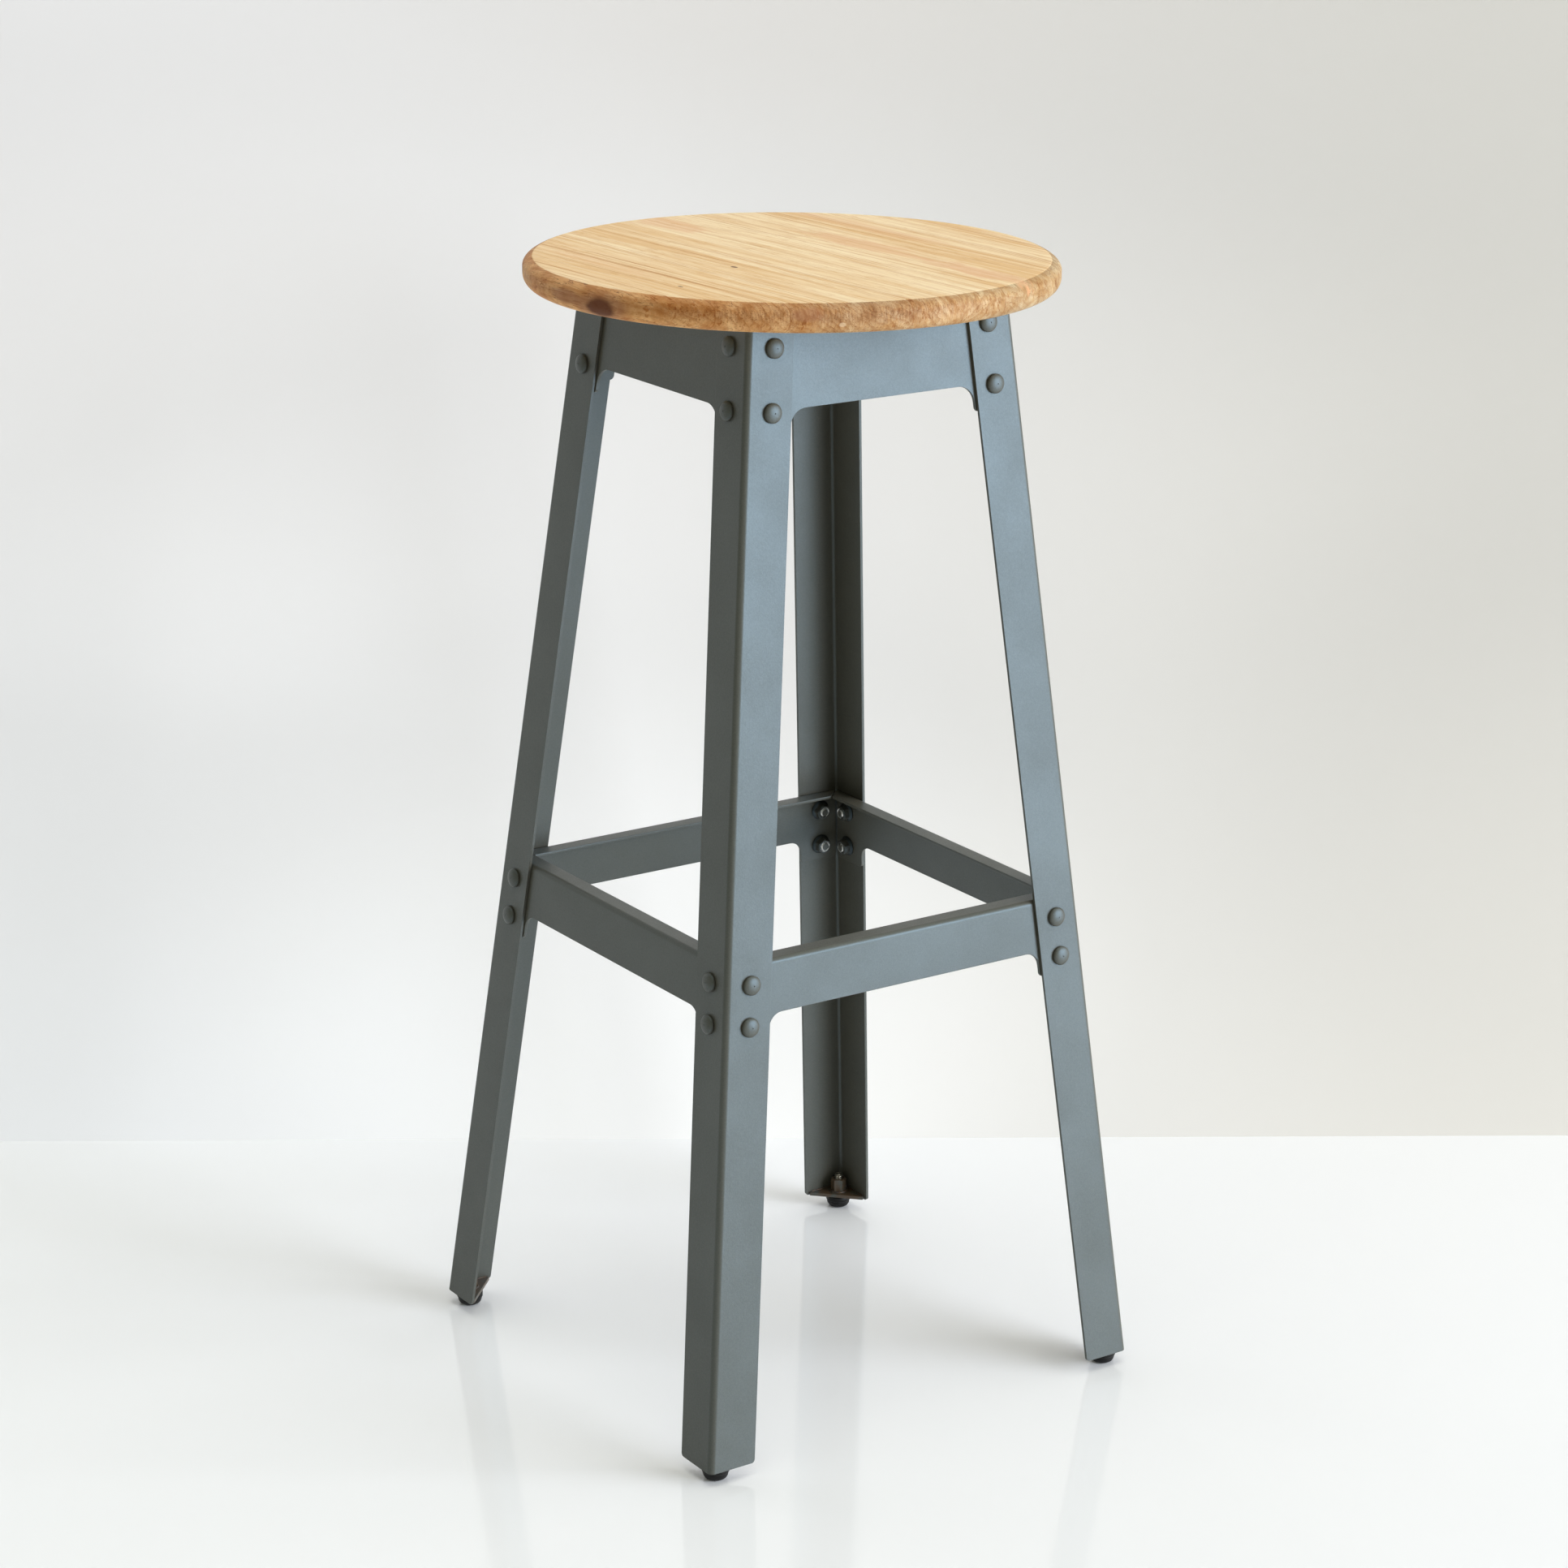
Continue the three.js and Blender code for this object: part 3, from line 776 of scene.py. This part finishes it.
def wood():
    g = Graph("hardwood")
    place = g.place(turn=-GRAIN_ANGLE)
    across, height = g.parts(place)[1:]
    rise = g.math("SUBTRACT", height, (seat_low.z + seat_high.z) / 2 / MM)
    blotch = g.noise(g.place(), 0.07, 4, 0.6)
    staves = Staves(g, across)
    grain = Grain(g, staves.number)
    late = growth_rings(g, staves, rise)
    rim, end_grain = rim_and_ends(g, grain.ticks)
    on_ends = g.times(end_grain, rim)
    on_sides = g.times(g.math("SUBTRACT", 1.0, end_grain), rim)

    tint = figure(g, staves, grain, late, rim)
    tint = with_rim_finish(g, tint, rim, blotch, across, rise)
    tint = with_ticks(g, tint, on_ends, grain.ticks, across, rise)
    tint = with_checks(g, tint, on_sides, blotch)
    tint = with_marks(g, tint, place)

    relief = g.linear(grain.pores, -1.4, grain.fibres)
    relief = g.linear(late, -0.3, relief)
    relief = g.linear(g.times(grain.ticks, on_ends), -2.0, relief)
    bump = g.bump(relief, 0.09 * MM, g.linear(rim, 0.35, 0.30))
    roughness = g.spread(g.math("ADD", grain.fibres, grain.pores), 0.35, 1.2, 0.50, 0.72)
    return g.finish(Base_Color=tint, Roughness=roughness, Normal=bump, Specular_IOR_Level=0.16)


TINTS_REACH = 700  # mm to either side, over which a stage surface's tints run
TINTS_HEIGHT = 750


def one_sided(name, tints, roughness, specular, glow=0.0, pools=()):
    """A matt or glossy stage surface, seen from the front only.

    tints are the colours low left, low right, high left and high right, which run into each
    other: painted light and shade. glow is painted light that it gives of its own, though it is
    no lamp. Each pool is a soft painted patch of light, or of shade where it is darker: its middle
    and reach across, its middle and reach upwards, all in millimetres, and how many times brighter."""
    g = Graph(name)
    across = g.node("VectorMath", {0: g.place(), 1: CAMERA_RIGHT}, operation="DOT_PRODUCT")
    across = across.outputs["Value"]
    height = g.parts(g.place())[2]
    # Painted light and shade, running from left to right and upwards.
    share = g.spread(across, -TINTS_REACH, TINTS_REACH)
    low_left, low_right, high_left, high_right = (colour(*tint) for tint in tints)
    low = g.mix(share, low_left, low_right)
    high = g.mix(share, high_left, high_right)
    tint = g.mix(g.spread(height, 0, TINTS_HEIGHT), low, high)
    # Painted pools of light, and of shade where gain is below one.
    for middle, reach, middle_height, reach_up, gain in pools:
        aside = g.math("DIVIDE", g.math("SUBTRACT", across, middle), reach)
        above = g.math("DIVIDE", g.math("SUBTRACT", height, middle_height), reach_up)
        far = g.diagonal(aside, above)
        tint = g.mix(g.spread(far, 1.0, 0.35), tint, colour(gain, gain, gain), "MULTIPLY")
    inputs = {
        "Base Color": tint,
        "Roughness": roughness,
        "Specular IOR Level": specular,
        # The glow is painted light, though the surface is no lamp.
        "Emission Color": tint,
        "Emission Strength": glow,
    }
    front = g.node("BsdfPrincipled", inputs).outputs[0]
    behind = g.node("BsdfTransparent", {}).outputs[0]
    backwards = g.node("NewGeometry", {}).outputs["Backfacing"]
    shader = g.node("MixShader", {0: backwards, 1: front, 2: behind}).outputs[0]
    g.node("OutputMaterial", {"Surface": shader})
    return g.material


STEEL_PAINT = paint("steel_paint")
BOLT_PAINT = paint("bolt_paint", shade=0.95, worn_below=WORN_END)
# The nut's flange carries painted shade where it meets the web.
NUT_PAINT = paint("nut_paint", 0.6, worn_below=WORN_END, shaded_above=NUT_SEAT - NUT_FLANGE_HEIGHT)
FOOT_PAINT = paint("foot_paint", shade=0.9, rust=True)
WELD_METAL = weld_metal()
STUD_STEEL = bare_steel("bare_steel", colour(0.50, 0.48, 0.42), colour(0.30, 0.27, 0.22))
SCREW_STEEL = bare_steel("zinc_plate", colour(0.62, 0.62, 0.60), colour(0.45, 0.45, 0.44))
PLASTIC = moulded_plastic()
WOOD = wood()

# ---- Putting pieces in place -----------------------------------------------------------------


def quarter(turn):
    return Matrix.Rotation(turn * math.pi / 2, 4, "Z")


def put(name, mesh, material, place, node, body="frame"):
    """A piece in the scene that stands for a CAD node and rides on its body."""
    piece = bpy.data.objects.new(name, mesh)
    if not mesh.materials:
        mesh.materials.append(material)
    piece.matrix_world = place
    bpy.context.scene.collection.objects.link(piece)
    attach(piece, body)
    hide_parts(node)


# ---- The pieces ------------------------------------------------------------------------------


def facing_front(point, spin=0.0):
    """Stands a piece made along +Z square to the legs' front face, at a point."""
    lean = Vector((0, 0, 1)).rotation_difference(FRONT_NORMAL).to_matrix().to_4x4()
    return Matrix.Translation(point) @ lean @ Matrix.Rotation(spin, 4, "Z")


def bolt_holes(member, side):
    holes = []
    for point in member.bolt_points(side):
        hole = rod(BOLT_HOLE_RADIUS, -4 * STEEL, 2 * STEEL)
        hole.transform(facing_front(point))
        holes.append(hole)
    return holes


def nipped(corner, before, after):
    """An arc in place of a corner, from the side of the point before it to the one after it."""
    first = (before - corner).normalized() * LEG_CORNER
    last = (after - corner).normalized() * LEG_CORNER
    turns = [math.pi / 2 * k / 5 for k in range(6)]
    return [corner + first * (1 - math.sin(t)) + last * (1 - math.cos(t)) for t in turns]


def leg_mesh():
    """The front left leg: two flanges and the bend between them."""
    section = rounded([(LEG_WIDTH, 0, 0), (0, 0, LEG_BEND), (0, LEG_WIDTH, 0)])
    rows = []
    for z in (LEG_BOTTOM, STEEL_TOP):
        rows.append([Vector((p.x - half(z), p.y - half(z), z)) for p in section])
    low, high = rows
    skin = [[low[i + 1], low[i], high[i], high[i + 1]] for i in range(1, len(section) - 2)]
    skin.append([low[1], *nipped(low[0], low[1], high[0]), high[0], high[1]])
    skin.append([*nipped(low[-1], high[-1], low[-2]), low[-2], high[-2], high[-1]])
    holes = bolt_holes(APRON, -1) + bolt_holes(RAIL, -1)
    # This leg is also the right-hand one of the left side.
    for hole in bolt_holes(APRON, 1) + bolt_holes(RAIL, 1):
        hole.transform(quarter(-1))
        holes.append(hole)
    return folded("leg", skin, holes)


def member_mesh(name, member, screw_hole):
    """The front apron or rail: a web with tabs, folded inwards along its top."""
    bottom = member.top - member.depth
    tab_bottom = bottom - TAB_DROP
    web_top = member.top - FLANGE_BEND

    def tab_edge(z):
        return half(z) - LEG_WIDTH - TAB_SHOWS

    def end(z):
        return half(z) - WEB_END

    right = [
        (tab_edge(bottom), bottom, member.fillet),
        (tab_edge(tab_bottom), tab_bottom, TAB_CORNER),
        (end(tab_bottom), tab_bottom, TAB_CORNER),
        (end(web_top), web_top, 0),
    ]
    left = [(-x, z, radius) for x, z, radius in reversed(right)]
    web = [Vector((p.x, WEB_FACE - half(p.y), p.y)) for p in rounded(right + left, steps=8)]

    profile = arc(WEB_FACE + FLANGE_BEND, web_top, -FLANGE_BEND, FLANGE_BEND, 0, 90, 6)
    profile.append((WEB_FACE + FLANGE_WIDTH, member.top))
    rows = []
    for inwards, z in profile:
        reach = min(end(z), half(member.top) - MITRE_GAP - inwards)
        y = inwards - half(z)
        rows.append((Vector((-reach, y, z)), Vector((reach, y, z))))
    bend = [[a[0], a[1], b[1], b[0]] for a, b in zip(rows, rows[1:])]

    holes = bolt_holes(member, -1) + bolt_holes(member, 1)
    if screw_hole:
        hole = rod(screw_hole, member.top - 3 * STEEL, member.top + STEEL)
        hole.transform(Matrix.Translation(SCREW_PLACE))
        holes.append(hole)
    return folded(name, [web, *bend], holes)


def shank(low, high, end):
    """Profile points of an M6 shank, six to each turn of its thread and chamfered at its end."""
    rings = round((high - low) / (THREAD_PITCH / 6))
    points = []
    for k in range(rings + 1):
        z = low + (high - low) * k / rings
        points.append((min(BOLT_RADIUS, BOLT_RADIUS - BOLT_CHAMFER + abs(z - end)), z))
    return points


def bolt_mesh():
    """A domed bolt with a dimple in its head. The axis is Z, and the leg's outer face is at 0."""
    end = NUT_FACE - BOLT_CHAMFER
    rounding = 0.35 * MM
    dimple = 0.45 * MM
    dome_start = GAP + HEAD_EDGE
    dome_height = HEAD_HEIGHT - HEAD_EDGE
    dome = arc(0, dome_start, HEAD_RADIUS - rounding / 2, dome_height, 12, 85, 12)
    top = dome_start + dome_height
    profile = [
        (0, end),
        *shank(end, GAP, end),
        (HEAD_RADIUS - rounding, GAP),
        (HEAD_RADIUS, GAP + rounding),
        (HEAD_RADIUS, dome_start),
        *dome,
        (dimple, top - 0.01 * MM),
        (0.7 * dimple, top - 0.12 * MM),
        (0.45 * dimple, top - dimple),
        (0, top - dimple),
    ]
    return lathe("bolt", profile, 40, thread=(end + BOLT_CHAMFER / 2, -STEEL))


def foot_plate_mesh():
    """The triangular plate that closes the foot of the front left leg."""
    near = plate_low.x + SPLAY * PLATE_THICKNESS
    far = plate_high.x
    cut_off = 3 * MM
    corner_radius = 0.8 * MM
    corners = [(near + cut_off, near), (far, near), (near, far), (near, near + cut_off)]
    outline = rounded([(x, y, corner_radius) for x, y in corners], steps=3)
    rings = [[(p.x, p.y, z) for p in outline] for z in (LEG_BOTTOM, PLATE_TOP)]
    bore = rod(BOLT_HOLE_RADIUS, 0, WELD_NUT_TOP)
    bore.transform(Matrix.Translation(FOOT_CENTRE))
    return softened(cut(skinned("foot_plate", rings), [bore]), 0.3 * MM)


def foot_weld_meshes():
    """The beads round the weld nut and along the plate's two welded edges."""
    middle = FOOT_CENTRE + Vector((0, 0, PLATE_TOP + 0.2 * MM))
    spoke = Vector((1.09 * NUT_FLATS / 2, 0, 0))
    turns = [math.tau * k / 40 for k in range(40)]
    around = [middle + Matrix.Rotation(turn, 3, "Z") @ spoke for turn in turns]
    wall = STEEL - half(PLATE_TOP)
    start = wall + 7 * MM
    length = LEG_WIDTH - 13 * MM
    steps = [length * k / 26 for k in range(27)]
    seam = [Vector((start + step, wall + 0.35 * MM, PLATE_TOP)) for step in steps]
    other = [Vector((p.y, p.x, p.z)) for p in reversed(seam)]
    return (
        bead("nut_weld", around, 0.95 * MM, looped=True),
        bead("plate_weld", seam, 0.6 * MM),
        bead("plate_weld", other, 0.6 * MM),
    )


def glide_base_mesh():
    """The glide's plastic foot: a rounded bowl with a flat rim, moulded round the stud."""
    top = LEG_BOTTOM - GAP
    rim = 9 * MM
    waist = 8.4 * MM
    waist_height = 5 * MM
    sole = 5.2 * MM
    hollow = 0.7 * MM
    bowl = arc(sole, waist_height, waist - sole, waist_height - 0.35 * MM, -78, -4, 9)
    socket = BOLT_RADIUS + 0.04 * MM
    profile = [
        (0, hollow),
        (2.2 * MM, hollow),
        (3.0 * MM, 0.5 * hollow),
        (3.6 * MM, 0.05 * MM),
        (4.0 * MM, 0),
        (sole, 0),
        *bowl,
        (waist, waist_height + 0.1 * MM),
        (rim - 0.15 * MM, waist_height + 0.45 * MM),
        (rim, waist_height + 0.75 * MM),
        (rim, top - 0.7 * MM),
        (rim - 0.2 * MM, top - 0.2 * MM),
        (rim - 0.7 * MM, top),
        (4.6 * MM, top),
        (4.3 * MM, top - 0.3 * MM),
        (socket, top - 0.3 * MM),
        (socket, 4 * MM),
        (0, 4 * MM),
    ]
    return lathe("glide_base", profile, 56)


def stud_mesh():
    """The glide's M6 stud, from inside the plastic to just above the weld nut."""
    low = 4.1 * MM
    high = glide_high.z
    end_dimple = [(1.2 * MM, high), (0.9 * MM, high - 0.25 * MM), (0, high - 0.3 * MM)]
    profile = [(0, low), *shank(low, high, high), *end_dimple]
    return lathe("stud", profile, 28, thread=(LEG_BOTTOM, high - BOLT_CHAMFER / 2))


def seat_screw_mesh():
    """A pan-head wood screw with a cross recess in its head, point upwards."""
    under_head = STEEL_TOP - STEEL - GAP
    head_radius = 4 * MM
    head = under_head - screw_low.z
    core = 2 * MM
    tip = screw_high.z
    threads = []
    pitch = 1.6 * MM
    steps = 60
    for k in range(steps + 1):
        z = under_head + (tip - 0.2 * MM - under_head) * k / steps
        threads.append((min(core, (tip - z) * 0.5 + 0.1 * MM), z))
    profile = [
        (0, screw_low.z),
        (head_radius - 1.5 * MM, screw_low.z),
        *arc(head_radius - 1.3 * MM, screw_low.z + 1.1 * MM, 1.3 * MM, 1.1 * MM, -70, 0, 5),
        (head_radius, under_head),
        *threads,
        (0, tip),
    ]

    def wood_thread(radius, z, angle):
        if z <= under_head + 1 * MM or radius > core:
            return radius
        phase = (z / pitch - angle / math.tau) % 1
        return radius * (1 - 0.28 * min(1, 2.2 * abs(2 * phase - 1)))

    body = lathe("seat_screw", profile, 24, shape=wood_thread)
    for turn in (0, 1):
        body = cut(body, [cross_arm(turn, screw_low.z, head)])
    return shaded(body, 35)


def cross_arm(turn, face, head):
    """One arm of a cross recess: a slot that narrows as it goes in."""
    rings = []
    for deep, long, wide in ((-0.1, 2.3, 0.55), (0.62, 1.1, 0.4)):
        z = face + deep * head
        outline = [(long, wide), (-long, wide), (-long, -wide), (long, -wide)]
        rings.append([(x * MM, y * MM, z) for x, y in outline])
    arm = skinned("arm", rings)
    arm.transform(quarter(turn))
    return arm


def seat_mesh():
    """The round seat: a flat top with a crisp arris, a rounded shoulder and a softer lower edge."""
    radius = seat_high.x
    low, high = seat_low.z, seat_high.z
    lower_round = 8 * MM
    shoulder = 6.5 * MM
    arris = radius - 7 * MM
    sweep = 68
    drop = shoulder / math.sin(math.radians(sweep))
    across = (radius - arris) / (1 - math.cos(math.radians(sweep)))
    profile = [
        (0, low),
        (radius - lower_round - 20 * MM, low),
        (radius - lower_round - 1 * MM, low),
        *arc(radius - lower_round, low + lower_round, lower_round, lower_round, -90, 0, 14),
        *arc(radius - across, high - shoulder, across, drop, 0, sweep, 14),
        (arris - 0.25 * MM, high - 0.03 * MM),
        (arris - 0.6 * MM, high),
        (arris - 3 * MM, high),
        (0.6 * radius, high),
        (0, high),
    ]
    seat = lathe("seat", profile, 240, sharp=60)
    holes = []
    for turn in range(4):
        hole = rod(SCREW_HOLE_RADIUS, low - 1 * MM, low + 13 * MM, 12)
        hole.transform(quarter(turn) @ Matrix.Translation(SCREW_PLACE))
        holes.append(hole)
    return shaded(cut(seat, holes), 60)


# ---- The assembly ----------------------------------------------------------------------------


def make_seat():
    put("seat_board", seat_mesh(), WOOD, quarter(0), "seat")


def make_corners():
    leg = leg_mesh()
    plate = foot_plate_mesh()
    welds = foot_weld_meshes()
    weld_nut_bore = BOLT_RADIUS + 0.15 * MM
    weld_nut = hex_nut("weld_nut", NUT_FLATS, PLATE_TOP - 0.2 * MM, WELD_NUT_TOP, weld_nut_bore)
    base = glide_base_mesh()
    stud = stud_mesh()
    for turn, corner in enumerate(CORNERS):
        place = quarter(turn)
        at_foot = place @ Matrix.Translation(FOOT_CENTRE)
        plate_node = f"foot_plate_{corner}"
        glide_node = f"levelling_glide_{corner}"
        body = f"glide_{corner}"
        put(f"leg_angle_{corner}", leg, STEEL_PAINT, place, f"leg_{corner}")
        put(f"foot_closing_plate_{corner}", plate, FOOT_PAINT, place, plate_node)
        nut_place = at_foot @ Matrix.Rotation(WELD_NUT_TURN + turn, 4, "Z")
        put(f"foot_weld_nut_{corner}", weld_nut, FOOT_PAINT, nut_place, plate_node)
        for number, weld in enumerate(welds):
            put(f"foot_weld_{number}_{corner}", weld, WELD_METAL, place, plate_node)
        put(f"glide_foot_{corner}", base, PLASTIC, at_foot, glide_node, body)
        put(f"glide_stud_{corner}", stud, STUD_STEEL, at_foot, glide_node, body)


def make_sides():
    apron = member_mesh("apron", APRON, SCREW_HOLE_RADIUS)
    rail = member_mesh("footrest_rail", RAIL, None)
    bolt = bolt_mesh()
    flange = (NUT_FLANGE_RADIUS, NUT_FLANGE_HEIGHT)
    nut = hex_nut("nut", NUT_FLATS, NUT_FACE, NUT_SEAT, BOLT_RADIUS + 0.1 * MM, flange)
    screw = seat_screw_mesh()
    spin = 0
    for turn, side in enumerate(SIDES):
        place = quarter(turn)
        put(f"apron_sheet_{side}", apron, STEEL_PAINT, place, f"apron_{side}")
        rail_node = f"footrest_rail_{side}"
        put(f"footrest_sheet_{side}", rail, STEEL_PAINT, place, rail_node)
        screw_node = f"seat_screw_{side}"
        at_screw = place @ Matrix.Translation(SCREW_PLACE)
        put(f"wood_screw_{side}", screw, SCREW_STEEL, at_screw, screw_node)
        for kind, member in (("apron", APRON), ("rail", RAIL)):
            for end, hand in (("left", -1), ("right", 1)):
                for level, point in zip(("upper", "lower"), member.bolt_points(hand)):
                    spin += BOLT_TURN
                    name = f"{side}_{kind}_{end}_{level}"
                    node = f"bolt_{name}"
                    there = place @ facing_front(point, spin)
                    put(f"dome_bolt_{name}", bolt, BOLT_PAINT, there, node)
                    put(f"hex_nut_{name}", nut, NUT_PAINT, there, node)


# ---- The studio ------------------------------------------------------------------------------

FLOOR_REACH = 3.4
WALL_REACH = 3
WALL_HEIGHT = 3.2
WALL_BEHIND = 0.346  # from the stool's axis to the wall, away from the camera
WALL_YAW = math.radians(2.0)
# The wall's glow is painted light: it gives light though it is no lamp, and softens the stool's shadow
# on the wall.
WALL_GLOW = 0.45
WORLD_LIGHT = colour(0.350, 0.358, 0.298)
WORLD_SEEN = colour(0.78, 0.79, 0.78)
# Painted light on the floor: brighter and bluer at the left, darker at the right.
FLOOR_TINTS = ((0.945, 0.95, 0.975), (0.81, 0.81, 0.83)) * 2
# Painted light and shade on the wall: brighter at the left and low down, darker and warmer at the
# right.
WALL_TINTS = ((0.645, 0.65, 0.66), (0.48, 0.46, 0.42), (0.565, 0.555, 0.56), (0.35, 0.335, 0.305))
# Painted pools of light on the wall, round the foot of the stool, and a painted shade at the right.
WALL_POOLS = ((-250, 850, 570, 300, 1.12), (-110, 420, 110, 330, 1.17), (600, 420, 260, 380, 0.92))


def stage_plane(name, corners, material):
    plane = bpy.data.objects.new(name, mesh_of(name, corners, [(0, 1, 2, 3)]))
    plane.data.materials.append(material)
    bpy.context.scene.collection.objects.link(plane)


def make_stage():
    floor = [quarter(turn) @ Vector((-FLOOR_REACH, -FLOOR_REACH, 0)) for turn in range(4)]
    stage_plane("studio_floor", floor, one_sided("studio_floor", FLOOR_TINTS, 0.09, 0.5))
    middle = -TOWARDS_CAMERA * WALL_BEHIND
    along = Matrix.Rotation(WALL_YAW, 3, "Z") @ CAMERA_RIGHT
    left, right = middle - along * WALL_REACH, middle + along * WALL_REACH
    up = Vector((0, 0, WALL_HEIGHT))
    wall = [left, right, right + up, left + up]
    wall_paint = one_sided("studio_wall", WALL_TINTS, 0.7, 0.2, WALL_GLOW, WALL_POOLS)
    stage_plane("studio_wall", wall, wall_paint)


def softbox(name, place, aim, width, height, watts):
    """A soft light, with its power given for red, green and blue."""
    power = max(watts)
    data = bpy.data.lights.new(name, "AREA")
    data.shape = "RECTANGLE"
    data.size = width
    data.size_y = height
    data.energy = power
    data.color = [part / power for part in watts]
    light = bpy.data.objects.new(name, data)
    light.location = place
    light.rotation_euler = (Vector(aim) - Vector(place)).to_track_quat("-Z", "Y").to_euler()
    light.visible_camera = False
    bpy.context.scene.collection.objects.link(light)


def make_lights():
    softbox("key", (2.2, -3.3, 1.32), (0, 0, 0.6), 3.2, 2.6, (186, 195, 208))
    softbox("low_key", (1.9, -2.9, 0.75), (0, 0, 0.5), 1.2, 1.4, (23, 26, 32))
    softbox("top", (0.1, -0.4, 2.9), (0, 0.05, 0), 2.4, 2.0, (29, 29, 26))


def make_world():
    """An even light from all round, which the camera sees as a paler backdrop."""
    world = bpy.data.worlds.new("studio")
    world.use_nodes = True
    tree = world.node_tree
    path = tree.nodes.new("ShaderNodeLightPath")
    seen = tree.nodes.new("ShaderNodeMix")
    seen.data_type = "RGBA"
    seen.inputs[6].default_value = WORLD_LIGHT
    seen.inputs[7].default_value = WORLD_SEEN
    tree.links.new(path.outputs["Is Camera Ray"], seen.inputs[0])
    tree.links.new(seen.outputs[2], tree.nodes["Background"].inputs["Color"])
    bpy.context.scene.world = world


make_seat()
make_corners()
make_sides()
make_stage()
make_lights()
make_world()
bpy.context.scene.view_settings.view_transform = "Standard"
